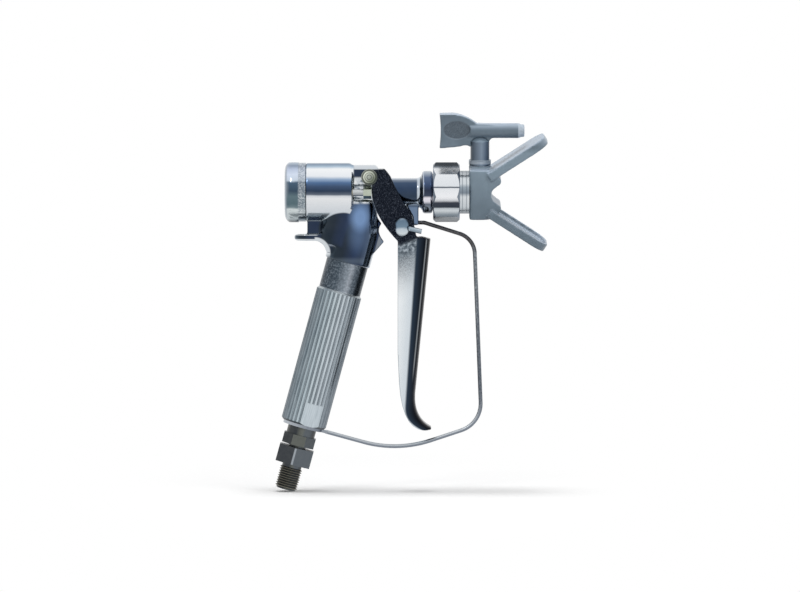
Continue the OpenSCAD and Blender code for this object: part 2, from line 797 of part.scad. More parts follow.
housing_outline = concat(
    [
        [passage_r - 1, tail_pipe_back + edge],
        [tail_pipe_r, tail_pipe_back + edge],
        [tail_pipe_r, barrel_front]
    ],
    arc(bead_r - bead_round, barrel_front + bead_round, bead_round, -90, 0),
    arc(bead_r - bead_round, bead_end_x - bead_round, bead_round, 0, 90),
    [[nose_r, bead_end_x], [nose_r, nose_end_x], [seat_pocket_r, nose_end_x], [seat_pocket_r, seat_x]],
    [[passage_r - 1, seat_x]]
);

module valve_housing() {
    color("silver") placed() difference() {
        barrel_turned(housing_outline);
        for (i = [1:nose_turns])
            barrel_ring(nose_r - thread_cut, nose_r + past,
                bead_end_x + i * nose_len / (nose_turns + 1) - thread_cut / 2,
                bead_end_x + i * nose_len / (nose_turns + 1) + thread_cut / 2);
    }
}

module valve_seat() {
    color("dimgray") placed() barrel_ring(seat_hole_r, seat_r, seat_x, seat_end_x);
}

module seat_gasket() {
    color("white") placed() barrel_ring(inlet_bore_r, seat_r, seat_end_x, gasket_end_x);
}

module seat_retainer() {
    color("silver") placed() barrel_ring(inlet_bore_r, seat_r, gasket_end_x, retainer_end_x);
}

// ---- Needle and its actuator ----

packing_len = 3.2;
packing_back_x = packing_step_x - packing_len;
nut_head_len = 3;
nut_head_af = 10;
needle_back_x = yoke_x - yoke_t - 3;
ball_gap = 0.03;
ball_x = seat_x - sqrt(ball_r * ball_r - seat_hole_r * seat_hole_r) - ball_gap;
needle_front_x = ball_x - sqrt(ball_r * ball_r - needle_r * needle_r);

module needle_packing() {
    color("white") placed()
        barrel_ring(needle_r + fit / 2, packing_r - fit / 2, packing_back_x, packing_step_x);
}

module packing_nut() {
    color("silver") placed() difference() {
        union() {
            on_barrel(wall_back_x - nut_head_len)
                cylinder(r = corner_r(nut_head_af, hexagon), h = nut_head_len, $fn = hexagon);
            on_barrel(wall_back_x - past)
                cylinder(r = packing_r - fit, h = packing_back_x - wall_back_x + past);
        }
        on_barrel(wall_back_x - 2 * nut_head_len) cylinder(r = needle_r + 2 * fit, h = chamber_back);
    }
}

module rod_bushing(side) {
    color("goldenrod") placed() at_rod(side) difference() {
        on_barrel(wall_back_x) cylinder(r = rod_r + fit + bushing_wall, h = front_wall);
        on_barrel(wall_back_x - past) cylinder(r = rod_r + fit, h = front_wall + 2 * past);
    }
}

module rod_bushing_left() {
    rod_bushing(1);
}

module rod_bushing_right() {
    rod_bushing(-1);
}

module needle_shaft() {
    color("silver") placed() on_barrel(needle_back_x)
        cylinder(r = needle_r, h = needle_front_x - needle_back_x);
}

module valve_ball() {
    color("dimgray") placed() difference() {
        on_barrel(ball_x) sphere(r = ball_r);
        on_barrel(needle_front_x - ball_r) cylinder(r = 2 * ball_r, h = ball_r);
    }
}

module actuator_yoke() {
    color("gray") placed() difference() {
        intersection() {
            on_barrel(yoke_x - yoke_t) cylinder(r = chamber_bore_r - 0.4, h = yoke_t);
            translate([yoke_x - yoke_t, -chamber_r, -yoke_h / 2]) cube([yoke_t, 2 * chamber_r, yoke_h]);
        }
        on_barrel(yoke_x - yoke_t - past) cylinder(r = needle_r + fit, h = yoke_t + 2 * past);
    }
}

module actuator_rod(side) {
    color("silver") placed() at_rod(side)
        on_barrel(yoke_x) cylinder(r = rod_r, h = rod_nut_front - edge - yoke_x);
}

module actuator_rod_left() {
    actuator_rod(1);
}

module actuator_rod_right() {
    actuator_rod(-1);
}

module rod_nut(side) {
    color("tan") placed() at_rod(side) difference() {
        on_barrel(rod_nut_front - rod_nut_len)
            cylinder(r = corner_r(rod_nut_af, hexagon), h = rod_nut_len, $fn = hexagon);
        on_barrel(rod_nut_front - rod_nut_len - past) cylinder(r = rod_r, h = rod_nut_len + past - edge);
    }
}

module rod_nut_left() {
    rod_nut(1);
}

module rod_nut_right() {
    rod_nut(-1);
}

module needle_nut() {
    color("silver") placed() difference() {
        on_barrel(yoke_x - yoke_t - 2.4) cylinder(r = corner_r(6.5, hexagon), h = 2.4, $fn = hexagon);
        on_barrel(yoke_x - yoke_t - past - 2.4) cylinder(r = needle_r, h = chamber_back);
    }
}

// ---- Spring ----

coil_sides = 6;
coil_steps = 14;
coil_back_x = cap_face_x - pocket_depth + coil_wire_r + fit;
coil_front_x = yoke_x - yoke_t - coil_wire_r - fit;
coil_rings = coil_turns * coil_steps;
coil_rise = (coil_front_x - coil_back_x) / coil_turns;
// Least gap between neighbouring turns
coil_gap = coil_rise - 2 * coil_wire_r;
echo(coil_gap = coil_gap);

function coil_point(i, k) =
    let (a = 360 * i / coil_steps, b = 360 * k / coil_sides, r = coil_r + coil_wire_r * cos(b))
    [coil_back_x + coil_rise * i / coil_steps + coil_wire_r * sin(b), r * cos(a), r * sin(a)];

coil_points = [for (i = [0:coil_rings], k = [0:coil_sides - 1]) coil_point(i, k)];
coil_faces = concat(
    [for (i = [0:coil_rings - 1], k = [0:coil_sides - 1]) let (
        a = i * coil_sides + k, b = i * coil_sides + (k + 1) % coil_sides
    ) each [[a, b, b + coil_sides], [a, b + coil_sides, a + coil_sides]]],
    [for (k = [1:coil_sides - 2]) [0, k + 1, k]],
    [for (k = [1:coil_sides - 2]) let (e = coil_rings * coil_sides) [e, e + k, e + k + 1]]
);

module needle_spring() {
    color("gray") placed() polyhedron(coil_points, coil_faces);
}

// ---- Trigger ----

blade_top = [38.3, -27.7];
blade_foot = [29.1, -120.5];
blade_rear_x = 18.6;
toe_tip = [38.7, -140.6];
lock_x = 21.2;
// The ears stand this far inside the blade's sides
ear_relief = 0.05;
lock_z = -20.6;

ear_outline = concat(
    arc(pivot_x, pivot_z, ear_r, 290, 90, 12),
    [[10.7, pivot_z + ear_r]],
    sweep([11.8, 12.6], [14.6, 9.6], [16.4, 4.9]),
    [[23, -7.7]],
    sweep([26, -11.3], [28, -16], [29.8, -26.6]),
    [[29.8, -34], [blade_rear_x + 1, -34]],
    sweep([blade_rear_x + 0.4, -29.6], [9.4, -19.4], [5.6, -10.7]),
    [[3.5, -4.7], [2.95, 1.3]]
);

// The blade's front edge from top to toe, in [forward, up] points
front_line = concat([blade_top], sweep(blade_foot, [28.2, -135.5], toe_tip));
blade_outline = concat(
    [[blade_rear_x, -29], [32.6, -26.6], [toe_tip[0], blade_top[1]]],
    sweep(toe_tip - [0, 1.5], [21.5, -146], [19.4, -114]),
    [[blade_rear_x, -96]]
);
hollow_foot = -133;
hollow_outline = [
    [blade_rear_x - 9, -20], [toe_tip[0], -20], [toe_tip[0], hollow_foot], [blade_rear_x - 9, hollow_foot]
];
bar_depth = 40;
bar_lap = 2;

// Bars along the blade's front edge, with rounded front corners, drawn in by inset
module blade_bars(inset) {
    half = ear_out - inset;
    round = blade_round - inset;
    for (i = [0:len(front_line) - 2]) {
        up = front_line[i] - front_line[i + 1];
        translate([front_line[i + 1][0], 0, front_line[i + 1][1]]) rotate([0, atan2(up[0], up[1]), 0])
            translate([0, 0, -bar_lap]) linear_extrude(norm(up) + 2 * bar_lap) union() {
                translate([-bar_depth, -half]) square([bar_depth - round - inset, 2 * half]);
                translate([-bar_depth, round - half]) square([bar_depth - inset, 2 * (half - round)]);
                for (side = [-1, 1]) translate([-round - inset, side * (half - round)]) circle(r = round);
            }
    }
}

module trigger() {
    color("silver") placed() difference() {
        union() {
            difference() {
                side_plate(ear_out - ear_relief) polygon(ear_outline);
                side_plate(ear_in)
                    translate([-2 * ear_r, -2 * chamber_r]) square([4 * chamber_r, 4 * chamber_r]);
            }
            difference() {
                intersection() {
                    side_plate(ear_out + past) polygon(blade_outline);
                    blade_bars(0);
                }
                intersection() {
                    side_plate(ear_out) polygon(hollow_outline);
                    blade_bars(blade_wall);
                }
            }
        }
        cross_pin(pivot_x, pivot_z, pivot_r + fit, -chamber_r, chamber_r);
        cross_pin(lock_x, lock_z, lock_r + fit, -chamber_r, chamber_r);
    }
}

// ---- Trigger pivot ----

washer_r = 4.8;
washer_t = 0.8;
side_gap = 0.3;
tail_r = pivot_r - 0.5;
pivot_nut_af = 7;
pivot_nut_len = 3.4;
screw_head_r = 4.5;
screw_head_len = 2.6;

module pivot_screw() {
    color("silver") placed() {
        cross_pin(pivot_x, pivot_z, pivot_r, -ear_out - side_gap, ear_out + side_gap);
        cross_pin(pivot_x, pivot_z, tail_r, -ear_out - side_gap - washer_t - pivot_nut_len, -ear_out);
        cross_pin(pivot_x, pivot_z, screw_head_r, ear_out + side_gap, ear_out + side_gap + screw_head_len);
    }
}

module pivot_washer() {
    color("silver") placed() difference() {
        cross_pin(pivot_x, pivot_z, washer_r, -ear_out - side_gap - washer_t, -ear_out - side_gap);
        cross_pin(pivot_x, pivot_z, tail_r + fit, -2 * ear_out, 0);
    }
}

module pivot_nut() {
    color("tan") placed() difference() {
        cross_pin(
            pivot_x, pivot_z, corner_r(pivot_nut_af, hexagon),
            -ear_out - side_gap - washer_t - pivot_nut_len, -ear_out - side_gap - washer_t, hexagon
        );
        cross_pin(pivot_x, pivot_z, tail_r + fit, -2 * ear_out, 0);
    }
}

// ---- Trigger lock ----

lever_drop = 12.5;
head_rise = 1.5;
head_t = 3;
clip_r = 3.4;
clip_w = 0.9;

module lock_pin() {
    color("silver") placed() {
        cross_pin(lock_x, lock_z, lock_r, -ear_out - head_t / 2, ear_out + clip_w + side_gap);
        for (side = [-1, 1]) intersection() {
            cross_pin(
                lock_x, lock_z + side * head_rise, lock_head_r,
                -ear_out - side_gap - head_t, -ear_out - side_gap
            );
            translate([lock_x, lock_head_r - ear_out - side_gap - head_t, lock_z + side * head_rise])
                sphere(r = 1.25 * lock_head_r);
        }
    }
}

module lock_lever() {
    color("lightsteelblue") placed() difference() {
        translate([lock_x, -ear_out - side_gap - lever_r, lock_z]) rotate([0, 90 + lever_drop, 0])
            cylinder(r = lever_r, h = lever_len);
        for (side = [-1, 1])
            cross_pin(lock_x, lock_z + side * head_rise, lock_head_r + fit, -2 * ear_out, 0);
    }
}

module lock_clip() {
    color("gray") placed() difference() {
        cross_pin(lock_x, lock_z, clip_r, ear_out + side_gap, ear_out + side_gap + clip_w);
        cross_pin(lock_x, lock_z, lock_r + fit, 0, 2 * ear_out);
    }
}

// ---- Guard nut ----

cup_x = nose_end_x + 0.1;
lip_x = nut_end_x - nut_lip;
nut_edge_r = corner_r(nut_af, octagon);
nut_outline = [
    [0, nut_x], [nut_edge_r - nut_bevel, nut_x], [nut_edge_r, nut_x + nut_bevel],
    [nut_edge_r, nut_end_x - nut_bevel], [nut_edge_r - nut_bevel, nut_end_x], [0, nut_end_x]
];

module guard_nut() {
    color("whitesmoke") placed() difference() {
        intersection() {
            on_barrel(nut_x) rotate(nut_turn) cylinder(r = nut_edge_r, h = nut_len, $fn = octagon);
            barrel_turned(nut_outline);
        }
        on_barrel(nut_x - past) cylinder(r = nose_fit_r, h = nut_len);
        on_barrel(cup_x) cylinder(r = cup_r, h = lip_x - cup_x);
        on_barrel(lip_x - past) cylinder(r = collar_ring_r + fit, h = nut_lip + 2 * past);
    }
}

// ---- Tip guard ----

ring_back_x = nose_end_x + 0.4;
ring_bore_r = 9;
saddle_r = 5;
saddle_flange = 3;
tip_bore_r = stem_tip_r + fit;
outlet_r = 2.5;
lip_z = 8.3;
wing_root = [block_x + 11.9, 13.9];

module guard_ring() {
    color("silver") placed() {
        barrel_ring(ring_bore_r, ring_flange_r, ring_back_x, lip_x - 0.2);
        barrel_ring(ring_bore_r, collar_ring_r, ring_back_x, block_x);
    }
}

module tip_gasket() {
    color("black") placed()
        barrel_ring(inlet_bore_r, ring_bore_r - fit, ring_back_x, block_x - saddle_flange);
}

module saddle_seal() {
    color("silver") placed() rolled() difference() {
        union() {
            on_barrel(block_x - saddle_flange) cylinder(r = ring_bore_r - fit, h = saddle_flange);
            on_barrel(block_x - past) cylinder(r = saddle_r, h = past + tip_reach);
        }
        on_barrel(block_x - 2 * saddle_flange) cylinder(r = seat_hole_r, h = block_len);
        translate([tip_x, 0, -block_half_h]) cylinder(r = tip_bore_r, h = 2 * block_half_h);
    }
}

// A flat outline with rounded end corners, drawn in from the wing's edge by inset
module wing_outline(inset) {
    reach = wing_len - inset;
    half = wing_half_w - inset;
    round = wing_round - inset;
    translate([inset, -half]) square([reach - round - inset, 2 * half]);
    translate([inset, -half + round]) square([reach - inset, 2 * (half - round)]);
    for (side = [-1, 1]) translate([reach - round, side * (half - round)]) circle(r = round);
}

// One wing, with its outer face up; the other wing is its mirror image
module guard_wing() {
    translate([wing_root[0], 0, wing_root[1]]) rotate([0, -wing_angle, 0]) {
        translate([-rim_w, 0, -wing_t]) linear_extrude(wing_t) wing_outline(0);
        translate([-rim_w, 0, -wing_t - rim_h]) linear_extrude(rim_h + wing_t / 2) difference() {
            wing_outline(0);
            wing_outline(rim_w);
        }
    }
}

// The block in plan, with rounded edges at front and back
module block_outline(length) {
    half = block_half_w - block_round;
    translate([0, -half]) square([length, 2 * half]);
    translate([block_round / 2, -block_half_w]) square([length - block_round * 1.5, 2 * block_half_w]);
    for (side = [-1, 1]) {
        translate([length - block_round, side * half]) circle(r = block_round);
        translate([block_round / 2, side * (block_half_w - block_round / 2)]) circle(r = block_round / 2);
    }
}

module guard_front() {
    side_plate(block_half_w - 0.5) difference() {
        union() {
            translate([block_x + block_len / 2, -lip_z - lip_r])
                square([notch_x - 2 - block_x - block_len / 2, 2 * (lip_z + lip_r)]);
            for (side = [-1, 1]) translate([notch_x - 2, side * lip_z]) circle(r = lip_r);
        }
        translate([notch_x, 0]) circle(r = notch_r);
    }
}

module tip_guard() {
    color("slategray") placed() rolled() difference() {
        union() {
            translate([block_x, 0, -block_half_h])
                linear_extrude(2 * block_half_h) block_outline(block_len);
            translate([tip_x, 0, block_half_h - past]) cylinder(r = tip_shoulder_r, h = boss_h + past);
            guard_front();
            difference() {
                union() {
                    guard_wing();
                    mirror([0, 0, 1]) guard_wing();
                }
                translate([notch_x, 0, 0]) rotate([90, 0, 0])
                    cylinder(r = notch_r, h = 4 * wing_half_w, center = true);
            }
        }
        translate([tip_x, 0, -2 * block_half_h]) cylinder(r = tip_bore_r, h = 4 * block_half_h);
        on_barrel(block_x - past) cylinder(r = saddle_r + fit, h = tip_reach + past);
        on_barrel(tip_x) cylinder(r = outlet_r, h = block_len + notch_r);
    }
}

// ---- Spray tip ----

stem_foot = 1 - block_half_h;
orifice_r = 2.2;
spray_hole_r = 0.5;
dome_r = stem_tip_r * 1.25;

// The stem with its domed top, or with grow the pocket that it fits in
module domed_stem(grow) {
    intersection() {
        translate([tip_x, 0, stem_foot]) cylinder(r = stem_tip_r + grow, h = stem_top - stem_foot + grow);
        translate([tip_x, 0, stem_top - dome_r]) {
            sphere(r = dome_r + grow);
            translate([0, 0, -3 * block_half_h]) cylinder(r = dome_r + grow, h = 3 * block_half_h);
        }
    }
}

module tip_stem() {
    color("slategray") placed() rolled() difference() {
        union() {
            domed_stem(0);
            translate([tip_x, 0, block_half_h + boss_h + fit])
                cylinder(r = tip_shoulder_r, h = shoulder_top - block_half_h - boss_h - fit);
        }
        on_barrel(tip_x - tip_reach) cylinder(r = orifice_r, h = 2 * tip_reach);
    }
}

module tip_orifice() {
    color("dimgray") placed() rolled() intersection() {
        on_barrel(tip_x - tip_reach) difference() {
            cylinder(r = orifice_r, h = 2 * tip_reach);
            translate([0, 0, -past]) cylinder(r = spray_hole_r, h = 2 * tip_reach + 2 * past);
        }
        translate([tip_x, 0, -2 * orifice_r]) cylinder(r = stem_tip_r - fit, h = 4 * orifice_r);
    }
}

flag_x = tip_x - flag_len;
flag_top = tip_bar_z + flag_h / 2;
flag_foot = tip_bar_z - flag_h / 2;
// The flag and the web to the bar, in [forward, up] points
flag_outline = concat(
    sweep([flag_x, flag_foot], [flag_x + 1.4, tip_bar_z], [flag_x, flag_top]),
    sweep([flag_x + 8, flag_top + 0.2], [tip_x - 8, flag_top - 0.6], [tip_x - 2, tip_bar_z + tip_bar_r]),
    [[tip_x + 8, tip_bar_z + tip_bar_r - 0.4], [tip_x + 8, tip_bar_z - tip_bar_r + 0.4]],
    sweep(
        [tip_x + stem_tip_r + 2.4, tip_bar_z - tip_bar_r + 0.4],
        [tip_x + stem_tip_r, tip_bar_z - tip_bar_r],
        [tip_x + stem_tip_r, tip_bar_z - tip_bar_r - 2.4]
    ),
    [[tip_x - stem_tip_r, tip_bar_z - tip_bar_r - 5]],
    sweep(
        [tip_x - stem_tip_r - 0.2, flag_foot + 0.6],
        [tip_x - 8, flag_foot + 2.6],
        [tip_x - 12, flag_foot + 1]
    )
);

module flag_recess() {
    for (side = [-1, 1])
        translate([flag_x + 10.4, side * (flag_half_t + recess_depth), tip_bar_z + 0.4])
            rotate([90, 0, 0]) linear_extrude(4 * recess_depth, center = true) polygon(
                [for (i = [0:35]) [8.1 * cos(i * 10), 5.2 * sin(i * 10)]]
            );
}

module tip_handle() {
    color("slategray") placed() rolled() difference() {
        union() {
            side_plate(flag_half_t) polygon(flag_outline);
            translate([0, 0, tip_bar_z]) {
                on_barrel(tip_x - stem_tip_r) cylinder(r = tip_bar_r, h = tip_bar_len + stem_tip_r);
                on_barrel(tip_x) cylinder(r = tip_bar_r - 0.7, h = tip_bar_len + tip_nub);
                translate([tip_x - stem_tip_r, 0, 0]) sphere(r = tip_bar_r);
            }
        }
        domed_stem(fit / 2);
        flag_recess();
    }
}

gun_body();
end_cap();
cap_seal();
handle_tube();
handle_gasket();
filter_core();
filter_mesh();
trigger_guard();
inlet_fitting();
swivel_seal();
swivel_clip();
valve_housing();
valve_seat();
seat_gasket();
seat_retainer();
needle_packing();
packing_nut();
rod_bushing_left();
rod_bushing_right();
pivot_screw();
pivot_washer();
pivot_nut();
needle_shaft();
valve_ball();
actuator_yoke();
actuator_rod_left();
actuator_rod_right();
rod_nut_left();
rod_nut_right();
needle_nut();
needle_spring();
trigger();
lock_pin();
lock_lever();
lock_clip();
hose_swivel();
guard_nut();
tip_guard();
guard_ring();
saddle_seal();
tip_gasket();
tip_stem();
tip_handle();
tip_orifice();
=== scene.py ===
"""Dresses an airless paint spray gun: smooth pieces and finishes over its fixed frame."""

import math

import bmesh
import bpy
from mathutils import Matrix, Vector


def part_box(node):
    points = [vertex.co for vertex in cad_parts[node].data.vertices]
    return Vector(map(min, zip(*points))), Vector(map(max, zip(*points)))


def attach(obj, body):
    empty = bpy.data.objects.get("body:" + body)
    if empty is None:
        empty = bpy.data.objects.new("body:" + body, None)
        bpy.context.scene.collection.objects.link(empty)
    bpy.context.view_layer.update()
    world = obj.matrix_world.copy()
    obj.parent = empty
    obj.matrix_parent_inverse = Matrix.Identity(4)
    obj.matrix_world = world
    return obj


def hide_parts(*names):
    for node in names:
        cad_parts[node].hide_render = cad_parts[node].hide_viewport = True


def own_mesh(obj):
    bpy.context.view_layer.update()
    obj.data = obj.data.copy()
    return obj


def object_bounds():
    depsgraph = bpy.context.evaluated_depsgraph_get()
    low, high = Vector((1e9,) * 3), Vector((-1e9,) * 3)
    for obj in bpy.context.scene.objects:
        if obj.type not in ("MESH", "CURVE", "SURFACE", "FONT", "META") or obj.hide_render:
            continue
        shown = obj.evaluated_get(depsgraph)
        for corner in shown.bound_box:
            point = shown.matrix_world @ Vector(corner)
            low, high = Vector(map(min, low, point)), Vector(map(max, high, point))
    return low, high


bl_info = {
    "name": "Paint spray gun",
    "version": (1, 0, 0),
    "blender": (4, 5, 0),
    "location": "View3D > Sidebar > Spray gun",
    "description": "Builds the pieces and finishes of an airless paint spray gun",
    "category": "Object",
}

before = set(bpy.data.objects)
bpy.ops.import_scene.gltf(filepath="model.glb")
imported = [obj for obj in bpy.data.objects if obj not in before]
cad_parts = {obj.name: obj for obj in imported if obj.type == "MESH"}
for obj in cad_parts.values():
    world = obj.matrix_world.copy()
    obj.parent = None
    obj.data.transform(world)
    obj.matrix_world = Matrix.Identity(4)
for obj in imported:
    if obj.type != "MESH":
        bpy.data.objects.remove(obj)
cad_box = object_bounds()

# The barrel's axis and the handle's axis meet here, in metres.
GUN_ORIGIN = Vector((0.048366, 0.0, 0.176797))
# The handle leans back by this angle.
HANDLE_TILT = math.radians(15.3)
# The tip guard and the spray tip are turned about the barrel by this angle.
NOSE_ROLL = math.radians(9)
# Longest travel of the needle, in metres.
FLOW_BLEND = 4.0
# Middle of the oval in the spray tip's flag, in millimetres from the gun's origin.
FLAG_OVAL = Vector((54.0, 0.0, 37.8 * math.cos(NOSE_ROLL)))
# Middle of the trigger's pivot (x, z) and the radii of the lines turned in its ends, in millimetres.
PIVOT = (1.6, 9.24)
PIVOT_LINES = (1.3, 2.6, 4.1)
# Radius of the chamber, the end cap and the guard nut, in millimetres.
CHAMBER_R = 17.5
# Radius of the barrel's plain length, where the parts under it begin, in millimetres.
BARREL_R = 9.4
# Where the chamber ends and the barrel begins, in millimetres.
CHAMBER_FRONT = -7.6
# Middle and reach of the fillet between the tail and the handle socket (x, z), in millimetres.
FILLET, FILLET_R = (-31.0, -36.1), 9.3
# The wrench flats: how far from the handle's axis, and turned about it by how much.
FLAT_APART, FLAT_TURN = 12.35, math.radians(16)
# How far down the handle the collar ends and the thread begins, in millimetres.
COLLAR_END, THREAD_TOP = -61.6, -171.0
# Radius to which the tip guard's bore is opened for the tip's stem, in metres.
TIP_BORE = 0.0059
# Half the height of the spray tip's flag and the height of its middle, in millimetres.
FLAG_HALF, FLAG_MIDDLE = 10.3, 37.4
# Past these angles, in degrees, an edge stays sharp: on turned pieces, on flutes and on many sides.
TURNED_EDGE, FLUTED_EDGE, SIDED_EDGE = 32, 24, 22
# Middle of the view, from the gun's origin, and the camera's distance from it, in metres.
VIEW_CENTRE, VIEW_DISTANCE = Vector((0.01998, 0.0, -0.06228)), 3.0
# The camera looks down by this angle.
VIEW_TILT = math.radians(2.2)
# What the lamps face, in metres.
LAMP_AIM = Vector((0.05, 0.0, 0.11))
WHITE = (1.0, 1.0, 1.0, 1.0)


def colour(red, green, blue):
    """Turns a screen colour of 0 to 255 a channel into the linear one that shaders use."""
    linear = []
    for channel in (red, green, blue):
        part = channel / 255
        linear.append(part / 12.92 if part <= 0.04045 else ((part + 0.055) / 1.055) ** 2.4)
    return (*linear, 1.0)


class Value:
    """One shader socket. Sums written on it add their Math nodes."""

    def __init__(self, shading, socket):
        self.shading = shading
        self.socket = socket

    def _sum(self, operation, *terms):
        return self.shading.node("ShaderNodeMath", {"operation": operation}, dict(enumerate(terms)))

    def __add__(self, other):
        return self._sum("ADD", self, other)

    def __radd__(self, other):
        return self._sum("ADD", other, self)

    def __sub__(self, other):
        return self._sum("SUBTRACT", self, other)

    def __rsub__(self, other):
        return self._sum("SUBTRACT", other, self)

    def __mul__(self, other):
        return self._sum("MULTIPLY", self, other)

    def __rmul__(self, other):
        return self._sum("MULTIPLY", other, self)

    def __truediv__(self, other):
        return self._sum("DIVIDE", self, other)

    def __rtruediv__(self, other):
        return self._sum("DIVIDE", other, self)

    def __abs__(self):
        return self._sum("ABSOLUTE", self)

    def __pow__(self, other):
        return self._sum("POWER", self, other)

    def root(self):
        """Its square root."""
        return self._sum("SQRT", self)

    def top(self, other):
        """The greater of the two."""
        return self._sum("MAXIMUM", self, other)

    def low(self, other):
        """The lesser of the two."""
        return self._sum("MINIMUM", self, other)

    def past(self, edge, width=1.0):
        """A mask that goes from 0 to 1 as this value passes an edge."""
        return self.shading.node(
            "ShaderNodeMapRange",
            {"interpolation_type": "SMOOTHSTEP"},
            {"Value": self, "From Min": edge - width / 2, "From Max": edge + width / 2},
        )

    def between(self, low, high, width=1.0):
        """A mask that is 1 between two edges and 0 outside them."""
        return self.past(low, width) * (1 - self.past(high, width))


class Shading:
    """A node tree that is being built."""

    def __init__(self, tree):
        self.tree = tree
        self.tree.nodes.clear()

    def node(self, kind, settings=None, inputs=None, output=0):
        """Adds a node with its settings first, then its inputs, and gives one output, or itself."""
        made = self.tree.nodes.new(kind)
        for key, setting in (settings or {}).items():
            if key == "stops":
                self._stops(made.color_ramp, setting)
            else:
                setattr(made, key, setting)
        for key, given in (inputs or {}).items():
            self.feed(made.inputs[key], given)
        return Value(self, made.outputs[output]) if made.outputs else made

    def feed(self, socket, given):
        """Links a value to a socket, or writes a constant in it."""
        if isinstance(given, Value):
            self.tree.links.new(given.socket, socket)
        else:
            socket.default_value = given

    def _stops(self, ramp, stops):
        while len(ramp.elements) > 1:
            ramp.elements.remove(ramp.elements[-1])
        ramp.elements[0].position = stops[0][0]
        ramp.elements[0].color = stops[0][1]
        for position, shade in stops[1:]:
            ramp.elements.new(position).color = shade


class Finish(Shading):
    """A material that is being built, and the places on the gun that it reads."""

    def __init__(self, name, metallic=0.0, roughness=0.4):
        self.material = bpy.data.materials.new(name)
        self.material.use_nodes = True
        super().__init__(self.material.node_tree)
        inputs = {"Metallic": metallic, "Roughness": roughness}
        self.surface = self.node("ShaderNodeBsdfPrincipled", {}, inputs)
        self.output = self.node("ShaderNodeOutputMaterial", {}, {"Surface": self.surface})
        self.shader = self.surface.socket.node
        self.place = None

    def set(self, **given):
        """Feeds the shader's own sockets, named with _ for a space."""
        for key, value in given.items():
            socket = key.replace("_", " ").title().replace("Ior", "IOR")
            self.feed(self.shader.inputs[socket], value)
        return self

    def gun_mm(self):
        """Object coordinates in millimetres from the gun's own origin."""
        if self.place is None:
            place = self.node("ShaderNodeTexCoord", output="Object")
            moved = tuple(-1000 * part for part in GUN_ORIGIN)
            inputs = {"Vector": place, "Location": moved, "Scale": (1000, 1000, 1000)}
            self.place = self.node("ShaderNodeMapping", {}, inputs)
        return self.place

    def handle_mm(self):
        """Places along the handle: x across it and z down to its foot."""
        inputs = {"Vector": self.gun_mm(), "Rotation": (0, -HANDLE_TILT, 0)}
        return self.node("ShaderNodeMapping", {}, inputs)

    def parts(self, vector):
        """The x, y and z of a vector."""
        split = self.node("ShaderNodeSeparateXYZ", {}, {"Vector": vector}).socket.node
        return [Value(self, socket) for socket in split.outputs]

    def facing(self):
        """The x, y and z of the direction that the surface faces."""
        return self.parts(self.node("ShaderNodeTexCoord", output="Normal"))

    def noise(self, size, detail=2.0, roughness=0.5, vector=None, stretch=None):
        """Noise whose features are about size millimetres wide."""
        where = vector or self.gun_mm()
        if stretch:
            where = self.node("ShaderNodeMapping", {}, {"Vector": where, "Scale": stretch})
        inputs = {"Vector": where, "Scale": 1 / size, "Detail": detail, "Roughness": roughness}
        return self.node("ShaderNodeTexNoise", {}, inputs)

    def ramp(self, factor, stops):
        """A run of colours along a value from 0 to 1."""
        return self.node("ShaderNodeValToRGB", {"stops": stops}, {"Fac": factor})

    def mix(self, factor, first, second):
        """Goes from the first colour to the second."""
        return self.node("ShaderNodeMix", {"data_type": "RGBA"}, {0: factor, 6: first, 7: second}, output=2)

    def bump(self, height, distance, strength=1.0):
        """Feeds a height in millimetres to the shader's normal."""
        inputs = {"Height": height, "Distance": distance / 1000, "Strength": strength}
        return self.set(normal=self.node("ShaderNodeBump", {}, inputs))


def run(*stops):
    """Stops for a ramp, from places of -1 to 1 and screen colours."""
    return [((place + 1) / 2, colour(*shade)) for place, shade in stops]


# --- finishes ---------------------------------------------------------------------------------


# Painted reflections of the studio on the chrome chamber: bands of colour from its bottom (-1) round to its
# top (1).
CHAMBER_PAINTED_REFLECTION = run(
    (-0.99, (56, 62, 65)),
    (-0.92, (205, 215, 219)),
    (-0.82, (172, 184, 193)),
    (-0.69, (202, 208, 214)),
    (-0.20, (226, 228, 230)),
    (-0.12, (205, 209, 214)),
    (-0.07, (90, 100, 114)),
    (0.05, (34, 52, 76)),
    (0.21, (58, 78, 108)),
    (0.34, (78, 108, 148)),
    (0.46, (150, 172, 200)),
    (0.56, (232, 236, 241)),
    (0.80, (244, 246, 248)),
    (0.88, (176, 196, 214)),
    (0.97, (84, 116, 146)),
)

# Painted reflections on the chrome barrel: bands of colour from its bottom (-1) round to its top (1).
BARREL_PAINTED_REFLECTION = run(
    (-0.98, (98, 114, 132)),
    (-0.80, (110, 124, 142)),
    (-0.70, (140, 154, 170)),
    (-0.58, (54, 68, 88)),
    (-0.30, (38, 54, 74)),
    (0.30, (40, 60, 88)),
    (0.68, (56, 76, 104)),
    (0.86, (120, 132, 148)),
    (0.95, (190, 198, 208)),
)

# Painted reflections on the chrome socket under the chamber, by the way that it faces, from back (-1) to
# front (1).
LOWER_PAINTED_REFLECTION = run(
    (-1.0, (104, 118, 130)),
    (-0.85, (62, 76, 88)),
    (-0.60, (30, 42, 52)),
    (-0.30, (26, 38, 50)),
    (-0.05, (30, 44, 66)),
    (0.20, (32, 48, 76)),
    (0.45, (34, 48, 70)),
    (0.60, (62, 76, 98)),
    (0.74, (140, 156, 176)),
    (0.84, (88, 102, 120)),
    (0.96, (214, 220, 226)),
)

# Painted light and shade on the dark steel's facets: lighter or darker by the way that each faces, from back
# (-1) to front (1).
FACET_PAINTED_SHADE = run(
    (-0.95, (84, 86, 82)),
    (-0.70, (40, 45, 52)),
    (-0.30, (42, 48, 56)),
    (-0.12, (84, 88, 84)),
    (0.10, (104, 108, 104)),
    (0.30, (92, 100, 108)),
    (0.62, (88, 96, 104)),
    (0.80, (58, 62, 66)),
    (0.95, (34, 38, 42)),
)
